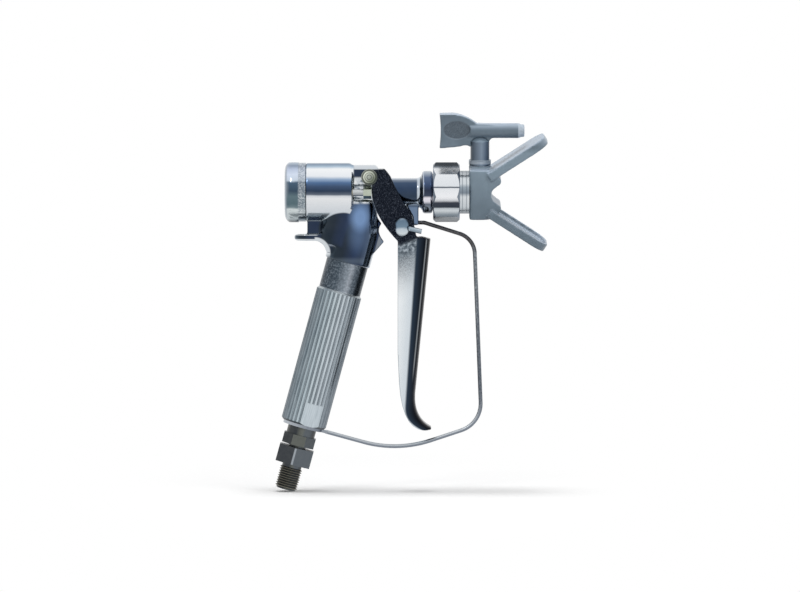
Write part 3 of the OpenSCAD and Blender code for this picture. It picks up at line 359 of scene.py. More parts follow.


# Painted reflections in rings across the end cap's rear face, from its middle (0) outwards.
BACK_PAINTED_REFLECTION = [
    (0.0, colour(120, 130, 140)),
    (0.10, colour(196, 204, 210)),
    (0.42, colour(158, 168, 178)),
    (0.45, colour(92, 102, 114)),
    (0.48, colour(176, 186, 194)),
    (0.80, colour(206, 213, 218)),
    (0.92, colour(140, 150, 160)),
]


def polished(finish, painted_light, rough=0.10):
    """Gives a metal its colour, with the reflections painted into it, and a light unevenness in its polish.
    """
    smear = finish.noise(9.0, 3.0)
    shade = finish.mix(0.03, painted_light, finish.ramp(smear, run((-1, (70, 78, 92)), (1, (240, 242, 245)))))
    finish.set(base_color=shade, roughness=rough + 0.08 * finish.noise(2.4, 3.0).past(0.5, 0.5))
    finish.set(metallic=1.0)
    return finish.material


def spot(x, z, centre_x, centre_z, wide, tall):
    """A soft patch that is 1 at a place on the gun's side and fades out around it."""
    across = (x - centre_x) / wide
    up = (z - centre_z) / tall
    return (1 - across * across - up * up).top(0.0) ** 2


def body_chrome():
    """Polished chrome of the cast body: chamber, barrel and the socket for the handle, with painted
    reflections and highlights in its colour.
    """
    finish = Finish("body_chrome")
    x, y, z = finish.parts(finish.gun_mm())
    face_x, face_y, face_z = finish.facing()
    around = z / (y * y + z * z).root().top(0.01)
    wave = 0.05 * (finish.noise(14.0, 1.0) - 0.5)
    # Painted reflections in bands round the chamber and the barrel.
    chamber = finish.ramp((around + wave + 1) / 2, CHAMBER_PAINTED_REFLECTION)
    barrel = finish.ramp((around + wave + 1) / 2, BARREL_PAINTED_REFLECTION)
    # A painted highlight round the barrel's flare.
    flare = face_x.between(-0.62, -0.16, 0.16)
    barrel = finish.mix(0.8 * flare, barrel, colour(206, 216, 226))
    # Painted reflections on the socket under the chamber, by the way that it faces.
    lower = finish.ramp((face_x + wave + 1) / 2, LOWER_PAINTED_REFLECTION)
    # A painted highlight on the socket's upper front.
    painted_highlight = spot(x, z, -3.4, -14.0, 9.0, 12.0) + 0.35 * spot(x, z, -5.0, -24.0, 9.0, 18.0)
    lower = finish.mix(0.80 * painted_highlight.low(1.0), lower, colour(124, 156, 200))
    # Painted highlights along the socket's outline, round the fillet to the tail and along the tail's top
    # and bottom edges.
    rim = (1 - abs(face_y).past(0.28, 0.3)) * (1 - face_x.past(0.0, 0.6))
    aside, below = x - FILLET[0], z - FILLET[1]
    fillet = (1 - (aside * aside + below * below).root().past(FILLET_R, 1.0)) * x.past(FILLET[0], 1.0)
    tail = (1 - x.past(-29.5, 2.0)) * (z.between(-25.7, -24.7, 0.3) + (1 - z.past(-27.9, 0.5)))
    rim = rim.top(fillet).top(tail) * z.past(-38.0, 3.0)
    lower = finish.mix(0.85 * rim, lower, colour(222, 228, 232))
    # A faint painted highlight along the neck.
    neck = spot(x, z, -10.0, -41.0, 30.0, 3.0)
    lower = finish.mix(0.22 * neck, lower, colour(130, 146, 160))
    # Painted reflections: downward faces paler, upward faces brighter still.
    under = finish.mix(face_z.past(-0.72, 0.3), colour(150, 160, 172), lower)
    lower = finish.mix(face_z.past(0.72, 0.3), under, colour(206, 212, 218))
    # A painted reflection, lighter on the side of the finger rib.
    across = finish.parts(finish.handle_mm())[0]
    rib = across.past(14.0, 0.9) * (-1 * z).past(12.0, 2.0)
    lower = finish.mix(0.65 * rib, lower, colour(148, 156, 164))
    # Painted reflections on the web under the barrel: bright where it faces back, blue-grey elsewhere.
    hook = x.past(9.0, 3.0) * (-1 * z).past(8.5, 2.0)
    webbing = finish.ramp(
        (face_x + 1) / 2, run((-0.8, (226, 232, 236)), (-0.3, (110, 132, 160)), (0.4, (92, 110, 136)))
    )
    lower = finish.mix(hook, lower, webbing)
    # Patchy painted highlights on the shoulder where the chamber meets the barrel.
    shoulder = x.between(-9.0, 7.0, 2.0) * z.between(-6.6, 9.0, 1.6)
    patchy_highlight = finish.ramp(
        finish.noise(3.0, 2.0), run((-0.3, (110, 122, 134)), (0.0, (214, 220, 224)), (0.4, (242, 244, 245)))
    )
    front = x.past(CHAMBER_FRONT, 1.2)
    painted_light = finish.mix(front, chamber, barrel)
    reach = (y * y + z * z).root()
    along, down = (x + 17.0) / 9.0, (z + 6.0) / 10.5
    corner = (along * along + down * down).past(1.0, 0.14) * x.past(-17.0, 0.6) * (-1 * z).past(6.2, 0.8)
    below_chamber = reach.past(CHAMBER_R + 0.4, 0.5).top(corner)
    socket_mask = below_chamber * (1 - front) + reach.past(BARREL_R, 0.8) * front
    painted_light = finish.mix(socket_mask, painted_light, lower)
    # Painted reflections: the front-facing ends of chamber and barrel bright.
    ends = face_x.past(0.8, 0.2) * (1 - socket_mask)
    painted_light = finish.mix(ends, painted_light, colour(232, 236, 239))
    painted_light = finish.mix(0.85 * shoulder * x.past(-8.4, 0.4), painted_light, patchy_highlight)
    return polished(finish, painted_light)


def cap_chrome():
    """Chrome of the eight-sided end cap, with painted reflections in bands from the top to the bottom."""
    finish = Finish("cap_chrome")
    x, y, z = finish.parts(finish.gun_mm())
    wave = 1.6 * (finish.noise(7.0, 2.0) - 0.5)
    # Painted reflections in bands by height.
    bands = run(
        (-1.0, (70, 78, 84)),
        (-0.90, (176, 186, 190)),
        (-0.58, (206, 214, 215)),
        (-0.51, (112, 130, 136)),
        (-0.40, (82, 104, 112)),
        (-0.12, (90, 112, 120)),
        (0.06, (52, 72, 90)),
        (0.34, (66, 90, 112)),
        (0.42, (196, 208, 222)),
        (0.62, (212, 223, 240)),
        (0.80, (188, 200, 222)),
        (0.90, (140, 154, 174)),
        (1.0, (170, 184, 198)),
    )
    painted_light = finish.ramp(((z + wave) / CHAMBER_R + 1) / 2, bands)
    # A painted highlight near the cap's rear.
    rear = spot(x, z, -49.5, 3.0, 4.0, 9.0)
    painted_light = finish.mix(0.4 * rear, painted_light, colour(206, 214, 219))
    grain = finish.noise(0.9, 3.0, 0.7)
    band = finish.ramp(grain, run((-0.3, (92, 102, 112)), (0.0, (156, 165, 173)), (0.3, (226, 230, 233))))
    painted_light = finish.mix(0.6 * x.past(-40.9, 0.5), painted_light, band)
    # Painted reflections in rings on the flat rear face.
    reach = (y * y + z * z).root()
    turned = finish.ramp(reach / 18, BACK_PAINTED_REFLECTION)
    back = finish.facing()[0].past(-0.75, 0.3)
    painted_light = finish.mix(back, turned, painted_light)
    return polished(finish, painted_light, 0.14)


def nut_chrome():
    """Chrome of the guard nut, with painted reflections: bright upper flats and a dark lower one."""
    finish = Finish("nut_chrome")
    z = finish.parts(finish.gun_mm())[2]
    wave = 0.5 * (finish.noise(6.0, 2.0) - 0.5)
    bands = run(
        (-1.0, (46, 56, 66)),
        (-0.88, (84, 96, 106)),
        (-0.74, (140, 150, 158)),
        (-0.62, (206, 212, 216)),
        (-0.54, (188, 196, 202)),
        (-0.50, (44, 52, 64)),
        (-0.34, (52, 58, 70)),
        (-0.27, (200, 203, 208)),
        (-0.18, (238, 239, 242)),
        (0.15, (226, 229, 233)),
        (0.165, (96, 104, 114)),
        (0.195, (96, 104, 114)),
        (0.215, (222, 226, 231)),
        (0.80, (234, 237, 240)),
        (0.87, (110, 120, 130)),
        (0.92, (38, 48, 56)),
    )
    painted_light = finish.ramp(((z + wave) / CHAMBER_R + 1) / 2, bands)
    # Painted reflections on the slanted chamfers, darker and bluer.
    slant = abs(finish.facing()[0])
    painted_light = finish.mix(slant.between(0.12, 0.75, 0.12), painted_light, colour(112, 124, 138))
    return polished(finish, painted_light, 0.24)


def housing_chrome():
    """Chrome of the valve housing's bead in front of the barrel, with painted reflections in bands and a
    painted highlight on its rim.
    """
    finish = Finish("housing_chrome")
    face_x, _, face_z = finish.facing()
    # Painted reflections in bands by the way that the bead faces up or down.
    bands = run(
        (-1.0, (50, 60, 74)),
        (-0.74, (120, 130, 144)),
        (-0.55, (90, 98, 112)),
        (-0.42, (214, 212, 222)),
        (-0.26, (226, 222, 230)),
        (-0.16, (52, 62, 82)),
        (0.10, (32, 42, 64)),
        (0.35, (54, 72, 104)),
        (0.70, (84, 102, 132)),
        (0.92, (166, 176, 188)),
    )
    painted_light = finish.ramp((face_z + 1) / 2, bands)
    # A painted highlight on the bead's rearward rim.
    rim = face_x.between(-0.75, -0.35, 0.14) * face_z.between(-0.1, 0.9, 0.3)
    painted_light = finish.mix(0.8 * rim, painted_light, colour(196, 206, 218))
    return polished(finish, painted_light, 0.10)


def ring_metal():
    """Bright machined ring between the nut and the tip guard, with painted reflections in bands."""
    finish = Finish("ring_metal")
    x, y, z = finish.parts(finish.gun_mm())
    # Painted reflections in bands from the bottom round to the top.
    bands = run(
        (-1.0, (90, 98, 106)),
        (-0.7, (196, 203, 208)),
        (-0.2, (212, 217, 221)),
        (-0.02, (120, 132, 144)),
        (0.25, (150, 162, 172)),
        (0.40, (206, 213, 218)),
        (0.8, (220, 225, 229)),
        (1.0, (110, 120, 128)),
    )
    radius = (y * y + z * z).root().top(0.01)
    groove = x.between(57.0, 57.6, 0.2) + x.between(59.4, 60.0, 0.2)
    painted_light = finish.ramp((z / radius + 1) / 2, bands)
    return polished(finish, finish.mix(0.5 * groove, painted_light, colour(84, 94, 104)), 0.20)


def grip_aluminium():
    """Satin aluminium of the fluted grip and the mottled collar above it, with painted reflections round
    both, painted shade in the flutes and under the grip, and painted highlights on the wrench flats and the
    collar's lip.
    """
    finish = Finish("grip_aluminium", metallic=1.0)
    place = finish.handle_mm()
    across, y, down = finish.parts(place)
    radius = (across * across + y * y).root().top(0.01)
    turn = across / radius
    # Painted reflections round the grip: dark at its sides, bright in the middle.
    bands = run(
        (-1.0, (82, 93, 101)),
        (-0.75, (122, 136, 144)),
        (-0.35, (172, 187, 194)),
        (0.0, (196, 208, 214)),
        (0.25, (198, 208, 215)),
        (0.60, (176, 187, 195)),
        (0.85, (124, 135, 144)),
        (1.0, (96, 106, 116)),
    )
    grey = finish.ramp((turn + 1) / 2, bands)
    apart = abs(math.cos(FLAT_TURN) * y - math.sin(FLAT_TURN) * across)
    flat = apart.between(FLAT_APART - 0.07, FLAT_APART + 0.07, 0.06) * (1 - down.past(-128.5, 1.0))
    # Painted shade in the flutes' grooves, but not on the wrench flats.
    groove = (1 - radius.past(13.36, 0.5)) * (1 - flat)
    grip = finish.mix(0.72 * groove, grey, colour(52, 63, 74))
    streak = finish.noise(0.8, 3.0, vector=place, stretch=(1.0, 1.0, 0.06))
    # A painted highlight on the wrench flats.
    grip = finish.mix(0.6 * flat, grip, colour(196, 207, 214))
    grip = finish.mix(0.20, grip, finish.ramp(streak, run((-0.4, (84, 96, 106)), (0.4, (222, 229, 234)))))
    # Painted shade on downward faces at the grip's foot.
    chamfer = 1 - finish.facing()[2].past(-0.45, 0.15)
    grip = finish.mix(0.8 * chamfer, grip, colour(34, 41, 48))
    mottle = finish.noise(1.1, 4.0, 0.75)
    dark = finish.ramp(mottle, run((-0.22, (34, 41, 49)), (0.0, (70, 80, 90)), (0.22, (140, 150, 160))))
    # Painted reflections round the collar: dark at its sides, bright just past the middle.
    collar_bands = run(
        (-0.9, (52, 60, 68)),
        (-0.3, (72, 84, 94)),
        (0.12, (150, 160, 170)),
        (0.28, (186, 194, 204)),
        (0.5, (90, 100, 110)),
        (0.95, (50, 58, 66)),
    )
    painted_light = finish.ramp((turn + 1) / 2, collar_bands)
    shade = finish.mix(0.55, dark, painted_light)
    collar = down.past(COLLAR_END, 0.4)
    # A painted highlight along the collar's lower lip.
    lip = down.between(COLLAR_END - 1.0, COLLAR_END + 0.2, 0.4)
    shade = finish.mix(collar, grip, shade)
    finish.set(base_color=finish.mix(0.6 * lip, shade, colour(214, 222, 226)))
    finish.set(roughness=0.30 + 0.12 * finish.noise(3.0, 3.0) - 0.06 * collar)
    finish.bump(streak + 0.6 * collar * mottle, 0.05, 0.4)
    return finish.material


def trigger_chrome():
    """The trigger: black speckled ears, a silver blade side and its rounded nose painted dark as a
    reflection, with painted highlights and shade on its edges.
    """
    finish = Finish("trigger_chrome", metallic=1.0)
    x, _, z = finish.parts(finish.gun_mm())
    face_x, face_y, _ = finish.facing()
    speck = finish.noise(0.42, 3.0, 0.8)
    cloud = finish.noise(5.0, 2.0, 0.5)
    black = finish.ramp(
        speck,
        run((-0.02, (18, 22, 31)), (0.12, (32, 38, 49)), (0.24, (68, 75, 88)), (0.40, (128, 135, 146))),
    )
    # The fold between the blade's side and its nose bends forward at the toe; the nose ends in a line.
    bend = ((-1 * z - 126).top(0.0) / 13.7) ** 3.0
    inner = x - (31.47 + 0.068 * z + 6.7 * bend)
    front = x - (40.57 + 0.1 * z)
    # The blade's silver side dims a little towards its fold: painted shade.
    silver = finish.ramp(
        (inner + 14 + 2 * cloud) / 14,
        [
            (0.0, colour(236, 240, 242)),
            (0.35, colour(240, 243, 245)),
            (0.75, colour(220, 226, 230)),
            (1.0, colour(208, 216, 222)),
        ],
    )
    grey = finish.ramp(speck, run((-0.2, (58, 68, 78)), (0.05, (108, 120, 130)), (0.3, (178, 188, 194))))
    fade = (-1 * z + 0.5 * (x - 24) + 6 * (cloud - 0.5)).past(47, 34)
    side = finish.mix(fade, grey, silver)
    # The rounded nose in a painted dark reflection.
    nose = inner.past(0.3, 1.6)
    nose_tones = [
        (0.0, colour(46, 60, 76)),
        (0.35, colour(34, 42, 52)),
        (0.6, colour(17, 21, 28)),
        (1.0, colour(8, 9, 13)),
    ]
    dark = finish.ramp(inner / 9, nose_tones)
    # A painted highlight line along the nose.
    line = front.between(-2.2, -1.5, 0.5) * (1 - (-1 * z).past(108.0, 14.0))
    dark = finish.mix(line, dark, colour(128, 133, 136))
    side = finish.mix(nose, side, dark)
    # A painted highlight on faces that face back.
    rear = 1 - face_x.past(-0.6, 0.4)
    side = finish.mix(rear * (1 - nose), side, colour(160, 172, 180))
    blade = (-1 * z + 0.35 * (x - 24)).past(30.0, 3.6)
    crimp_tones = run((-0.25, (62, 72, 82)), (0.0, (112, 123, 132)), (0.25, (168, 178, 186)))
    crimp = finish.ramp(finish.noise(2.2, 3.0, 0.6), crimp_tones)
    side = finish.mix((1 - (-1 * z).past(37.0, 8.0)) * (1 - nose), side, crimp)
    # Painted highlights on the ears' edges that face back, painted shade on those that face forward.
    edge = (1 - abs(face_y).past(0.72, 0.3)) * (1 - blade)
    edge_tone = finish.mix(face_x.past(0.0, 0.4), colour(216, 222, 226), colour(36, 42, 52))
    ears = finish.mix(0.9 * edge, black, edge_tone)
    finish.set(base_color=finish.mix(blade, ears, side))
    finish.set(roughness=0.18 + 0.20 * (1 - blade) + 0.06 * cloud)
    finish.bump(speck * (1 - fade), 0.05, 0.3)
    return finish.material


def moulded(name, tint, light, recess=False):
    """Blue-grey moulded plastic with a fine grain, with painted light higher up, on upward faces and in the
    lower wing's dish, and painted shade on downward faces.
    """
    finish = Finish(name)
    x, _, z = finish.parts(finish.gun_mm())
    face_z = finish.facing()[2]
    grain = finish.noise(0.35, 2.0)
    cloud = finish.noise(6.0, 3.0)
    # Random clouding, and painted light: the guard lighter higher up.
    base = finish.mix(0.30 * cloud + 0.45 * z.past(0.0, 30.0) * (1 - z.past(25.0, 4.0)), tint, light)
    # Painted light on upward faces.
    base = finish.mix(0.75 * face_z.past(0.45, 1.0), base, colour(168, 182, 198))
    # Painted light in the lower wing's dish, which faces up.
    dish = (1 - z.past(-13.0, 5.0)) * face_z.past(0.35, 1.0)
    base = finish.mix(0.6 * dish, base, colour(178, 190, 204))
    # Painted shade on downward faces.
    base = finish.mix(0.45 * (1 - face_z.past(-0.5, 0.9)), base, colour(70, 82, 96))
    if recess:
        along, up = (x - FLAG_OVAL.x) / 8.1, (z - FLAG_OVAL.z) / 5.2
        oval = 1 - (along * along + up * up).past(1.0, 0.25)
        pitted = finish.ramp(grain, run((-0.2, (48, 60, 72)), (0.2, (88, 102, 114))))
        base = finish.mix(0.85 * oval, base, pitted)
        # A painted highlight on the nub at the flag's front end.
        base = finish.mix(x.past(90.6, 0.3), base, colour(172, 184, 196))
    finish.set(base_color=base, roughness=0.34 + 0.10 * grain, specular_ior_level=0.5)
    finish.set(coat_roughness=0.25, coat_weight=0.15)
    finish.bump(grain, 0.02, 0.5)
    return finish.material


def neck_plastic(tint, light):
    """The tip's neck in the guard's plastic tone, with painted light: lighter along its middle and on its
    dome, and a painted highlight at its seat.
    """
    finish = Finish("neck_plastic", metallic=0.25)
    z = finish.parts(finish.gun_mm())[2]
    face_x, _, face_z = finish.facing()
    grain = finish.noise(0.5, 2.0)
    # Painted light round the neck: lighter along its middle, darker at its sides.
    bands = run(
        (-0.95, (66, 78, 90)),
        (-0.5, (88, 102, 118)),
        (0.15, (126, 142, 160)),
        (0.5, (100, 116, 136)),
        (0.9, (60, 74, 92)),
    )
    shade = finish.ramp((face_x + 1) / 2, bands)
    # Painted light on its upward faces and dome.
    shade = finish.mix(0.7 * face_z.past(0.35, 0.5), shade, light)
    # A painted highlight at the seat.
    seat = z.between(16.8, 19.2, 0.5)
    shade = finish.mix(0.6 * seat, shade, colour(190, 200, 210))
    finish.set(base_color=finish.mix(0.2 * grain, shade, tint), roughness=0.32 + 0.08 * grain)
    return finish.material


def wire_steel():
    """Zinc-plated wire of the trigger guard, with painted light and shade: its lower run lighter on upward
    faces, its upper end dark brown below, its front run darker.
    """
    finish = Finish("wire_steel", metallic=1.0)
    x, _, z = finish.parts(finish.gun_mm())
    face_z = finish.facing()[2]
    streak = finish.noise(1.2, 3.0)
    grey = finish.ramp(streak, run((-0.3, (92, 98, 104)), (0.3, (142, 148, 154))))
    low = (-1 * z).past(128, 22)
    # Painted light and shade: the lower run lighter on its upward faces, the upper end dark brown on its
    # downward ones.
    pale = finish.mix(face_z.past(0.1, 0.7), colour(126, 134, 146), colour(206, 212, 218))
    brown = finish.mix(face_z.past(0.5, 0.5), colour(60, 54, 54), colour(118, 122, 128))
    grey = finish.mix(0.75 * low, grey, pale)
    grey = finish.mix(0.75 * (1 - (-1 * z).past(34, 10)), grey, brown)
    # The front run in painted shade.
    side = x.past(66.5, 1.0) * (1 - low)
    grey = finish.mix(0.5 * side, grey, colour(70, 78, 90))
    finish.set(base_color=grey, roughness=0.26 + 0.12 * streak)
    return finish.material


def oxide(name, tone, gloss=0.30):
    """Dark oxidised steel, worn a little lighter, its facets painted lighter or darker by the way that they
    face, with painted highlights on one edge of the hex and the thread's crests and painted shade in the
    thread's roots.
    """
    finish = Finish(name, metallic=0.9)
    across, y, down = finish.parts(finish.handle_mm())
    cloud = finish.noise(2.6, 3.0, 0.6)
    fine = finish.noise(0.5, 3.0)
    radius = (across * across + y * y).root().top(0.01)
    # Painted light and shade on the facets.
    facets = finish.ramp((finish.facing()[0] + 1) / 2, FACET_PAINTED_SHADE)
    shade = finish.mix(0.15, facets, tone)
    shade = finish.mix(0.16 * cloud, shade, colour(150, 150, 142))
    # A painted highlight along one edge of the hex.
    corner = across.between(-0.9, 0.2, 0.5) * down.between(-169.0, -158.9, 0.6)
    shade = finish.mix(0.8 * corner, shade, colour(170, 177, 184))
    # A painted highlight on the thread's crests and painted shade in its roots.
    crest = radius.between(6.25, 6.9, 0.35) * (1 - down.past(THREAD_TOP, 0.5))
    shade = finish.mix(0.65 * crest, shade, colour(132, 128, 114))
    root = (1 - radius.past(6.25, 0.4)) * (1 - down.past(THREAD_TOP, 0.5))
    shade = finish.mix(0.5 * root, shade, colour(26, 28, 28))
    finish.set(base_color=shade, roughness=gloss + 0.12 * fine)
    finish.bump(fine, 0.02, 0.3)
    return finish.material


def bright_metal(name, dark, light, rough=0.22, size=3.0):
    """Turned or plated metal with a fine change of tone and painted shade on its downward faces."""
    finish = Finish(name, metallic=1.0)
    tone = finish.noise(size, 3.0)
    face_z = finish.facing()[2]
    shade = finish.mix(0.25 * tone, light, dark)
    # Painted shade on downward faces.
    shade = finish.mix(0.7 * (1 - face_z.past(-0.1, 1.2)), shade, dark)
    finish.set(base_color=shade, roughness=rough + 0.10 * tone)
    return finish.material


def ringed_metal(name, dark, light):
    """The ends of the trigger's pivot: bright, with dark lines turned in them, and painted lighter towards
    the upper rear.
    """
    finish = Finish(name, metallic=1.0)
    x, _, z = finish.parts(finish.gun_mm())
    across, up = x - PIVOT[0], z - PIVOT[1]
    radius = (across * across + up * up).root()
    tone = finish.noise(1.4, 3.0)
    # Painted light: lighter towards the upper rear.
    lean = ((up - across) / 9 + 0.5 + 0.4 * (tone - 0.5)).top(0.0).low(1.0)
    shade = finish.mix(lean, dark, light)
    shade = finish.mix(0.6 * radius.past(3.5, 0.3), shade, colour(74, 78, 74))
    for ring in PIVOT_LINES:
        shade = finish.mix(0.75 * radius.between(ring - 0.22, ring + 0.22, 0.2), shade, colour(56, 60, 56))
    finish.set(base_color=shade, roughness=0.2 + 0.1 * tone)
    return finish.material


def knob_satin():
    """Satin steel of the lock's knob and tail, with painted reflections: blue-grey above, bright below."""
    finish = Finish("knob_satin", metallic=1.0)
    _, face_y, face_z = finish.facing()
    x, _, z = finish.parts(finish.gun_mm())
    tone = finish.noise(4.0, 2.0)
    # Painted reflections in bands by height: bright below, blue-grey above.
    height = (z + 20.6 + 2.0 * (tone - 0.5)) / 12 + 0.5
    bands = [
        (0.0, colour(120, 132, 142)),
        (0.20, colour(206, 214, 219)),
        (0.38, colour(186, 198, 207)),
        (0.50, colour(116, 138, 156)),
        (0.80, colour(100, 122, 142)),
        (1.0, colour(150, 164, 176)),
    ]
    shade = finish.ramp(height, bands)
    # Painted shade at the knob's rounded edges.
    edge = 1 - abs(face_y).past(0.6, 0.4)
    shade = finish.mix(0.5 * edge, shade, colour(84, 98, 112))
    # Painted reflections on the tail: lighter on its upward faces.
    tail = x.past(25.6, 0.6)
    tail_tones = run((-0.6, (86, 104, 120)), (0.2, (146, 164, 178)), (0.8, (206, 214, 220)))
    stripe = finish.ramp((face_z + 1) / 2, tail_tones)
    shade = finish.mix(0.7 * tail, shade, stripe)
    finish.set(base_color=shade, roughness=0.26 + 0.1 * tone)
    return finish.material


def soft_stuff(name, dark, light, rough=0.6, size=0.8):
    """Rubber, seal and filter plastic with a matt grain."""
    finish = Finish(name)
    grain = finish.noise(size, 3.0)
    finish.set(base_color=finish.ramp(grain, [(0.3, dark), (0.7, light)]), roughness=rough + 0.1 * grain)
    finish.bump(grain, 0.04, 0.4)
    return finish.material


def woven_mesh():
    """Fine woven wire of the filter, read around and along the handle."""
    finish = Finish("filter_weave", metallic=0.9)
    across, y, down = finish.parts(finish.handle_mm())
    turn = finish.node("ShaderNodeMath", {"operation": "ARCTAN2"}, {0: y, 1: across})
    warp = finish.node("ShaderNodeMath", {"operation": "SINE"}, {0: 60 * turn})
    weft = finish.node("ShaderNodeMath", {"operation": "SINE"}, {0: 9 * down})
    weave = warp.top(weft)
    shade = finish.ramp(weave, [(0.0, colour(70, 74, 78)), (0.9, colour(176, 180, 184))])
    finish.set(base_color=shade, roughness=0.35 + 0.1 * finish.noise(1.0))
    finish.bump(weave, 0.06, 0.5)
    return finish.material


# --- pieces -----------------------------------------------------------------------------------


def joined_copy(node):
    """A bmesh of a node with its loose triangles joined at their corners."""
    work = bmesh.new()
    work.from_mesh(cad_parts[node].data)
    bmesh.ops.remove_doubles(work, verts=work.verts, dist=1e-6)
    return work


def sharpen(work, angle):
    """Shades a mesh smooth, and sharp at edges past an angle."""
    for face in work.faces:
        face.smooth = True
    for edge in work.edges:
        edge.smooth = len(edge.link_faces) == 2 and edge.calc_face_angle(0.0) < angle


def piece_of(name, work):
    """Makes an object of a bmesh, at the origin."""
    mesh = bpy.data.meshes.new(name)
    work.to_mesh(mesh)
    work.free()
    made = bpy.data.objects.new(name, mesh)
    bpy.context.scene.collection.objects.link(made)
    return made


def settle(made):
    """Bakes a piece's modifiers into its mesh."""
    graph = bpy.context.evaluated_depsgraph_get()
    baked = bpy.data.meshes.new_from_object(made.evaluated_get(graph))
    old = made.data
    made.modifiers.clear()
    made.data = baked
    baked.name = made.name
    bpy.data.meshes.remove(old)


def dress(made, body, node, material):
    """Puts a piece in place of a node, on its body, in its finish."""
    made.data.materials.clear()
    made.data.materials.append(material)
    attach(made, body)
    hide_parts(node)


def smooth_piece(name, node, body, material, angle=TURNED_EDGE):
    """A joined and smooth-shaded stand-in for a turned or bent node, sharp past an angle in degrees."""
    work = joined_copy(node)
    sharpen(work, math.radians(angle))
    made = piece_of(name, work)
    dress(made, body, node, material)
    return made


def relax(work, verts):
    """Moves corners half of the way to the middle of their neighbours."""
    bmesh.ops.smooth_vert(work, verts=verts, factor=0.5, use_axis_x=True, use_axis_y=True, use_axis_z=True)


def cast_piece(name, node, body, material, grain, rounds=6, flow=None, flow_rounds=0):
    """A cast or moulded stand-in for a node, its edges rounded, and more so where flow gives a depth."""
    made = piece_of(name, joined_copy(node))
    skin = made.modifiers.new("skin", "REMESH")
    skin.mode = "VOXEL"
    skin.voxel_size = grain
    skin.use_smooth_shade = True
    settle(made)
    work = bmesh.new()
    work.from_mesh(made.data)
    for step in range(rounds):
        relax(work, work.verts)
    depths = {vert: flow((vert.co - GUN_ORIGIN) * 1000) for vert in work.verts} if flow else {}
    for step in range(flow_rounds):
        flowing = [vert for vert, depth in depths.items() if depth > FLOW_BLEND * step / flow_rounds]
        relax(work, flowing)
    for face in work.faces:
        face.smooth = True
    work.to_mesh(made.data)
    work.free()
    dress(made, body, node, material)
    return made


def flare_flag(made):
    """Thickens the spray tip's flag towards its upper and lower rims, as moulded."""
    for vert in made.data.vertices:
        place = Matrix.Rotation(-NOSE_ROLL, 3, "X") @ ((vert.co - GUN_ORIGIN) * 1000)
        reach = min(max((60.0 - place.x) / 8.0, 0.0), 1.0)
        rim = min(abs(place.z - FLAG_MIDDLE) / FLAG_HALF, 1.0)
        place.y *= 1 + 0.75 * reach * rim * rim
        vert.co = GUN_ORIGIN + (Matrix.Rotation(NOSE_ROLL, 3, "X") @ place) / 1000


def clear_bore(made, pin, reach):
    """Opens the bore of a moulded piece to a radius, so that the pin which turns in it stays free."""
    low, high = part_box(pin)
    middle = (low[0] + high[0]) / 2
    for vert in made.data.vertices:
        place = Matrix.Rotation(-NOSE_ROLL, 3, "X") @ (vert.co - GUN_ORIGIN)
        aside = place.x + GUN_ORIGIN.x - middle
        radius = math.hypot(aside, place.y)
        if reach - 0.0008 < radius < reach:
            place.x += aside * (reach / radius - 1)
            place.y *= reach / radius
            vert.co = GUN_ORIGIN + Matrix.Rotation(NOSE_ROLL, 3, "X") @ place


def under_chamber(place):
    """How deep a place is in the flowing part between the chamber and the handle, in millimetres."""
    across = place.x * math.cos(HANDLE_TILT) - place.z * math.sin(HANDLE_TILT)
    clear_of_bore = math.hypot(across, place.y) - 12.0
    return min(clear_of_bore, place.z + 36.0, -8.5 - place.z, across + 19.0, 12.0 - across, 7.5 - place.x)


def paint(node, material):
    """Gives a CAD node a better material and leaves its mesh alone."""
    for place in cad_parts[node].material_slots:
        place.material = material


class GunColours(bpy.types.PropertyGroup):
    """Colours that a user of the gun would change."""

    plastic: bpy.props.FloatVectorProperty(
        name="Plastic",
        description="Colour of the tip guard",
        subtype="COLOR",
        size=4,
        default=colour(84, 101, 114),
    )
    # The paler plastic colour goes into random clouding and into painted light on upper parts and upward
    # faces.
    plastic_light: bpy.props.FloatVectorProperty(
        name="Plastic light",
        description="Paler parts of the plastic",
        subtype="COLOR",
        size=4,
        default=colour(142, 162, 177),
    )
    oxide: bpy.props.FloatVectorProperty(
        name="Oxide",
        description="Colour of the inlet fitting",
        subtype="COLOR",
        size=4,
        default=colour(58, 62, 62),
    )


class GunSizes(bpy.types.PropertyGroup):
    """Sizes that a user of the gun would change."""

    cast_grain: bpy.props.FloatProperty(
        name="Cast grain", description="How finely cast pieces are skinned", unit="LENGTH", default=0.0005
    )
    floor: bpy.props.FloatProperty(
        name="Floor", description="How far the floor reaches", unit="LENGTH", default=30.0
    )


def colours():
    """The scene's colours of the gun."""
    return bpy.context.scene.gun_colours


def sizes():
    """The scene's sizes of the gun."""
    return bpy.context.scene.gun_sizes


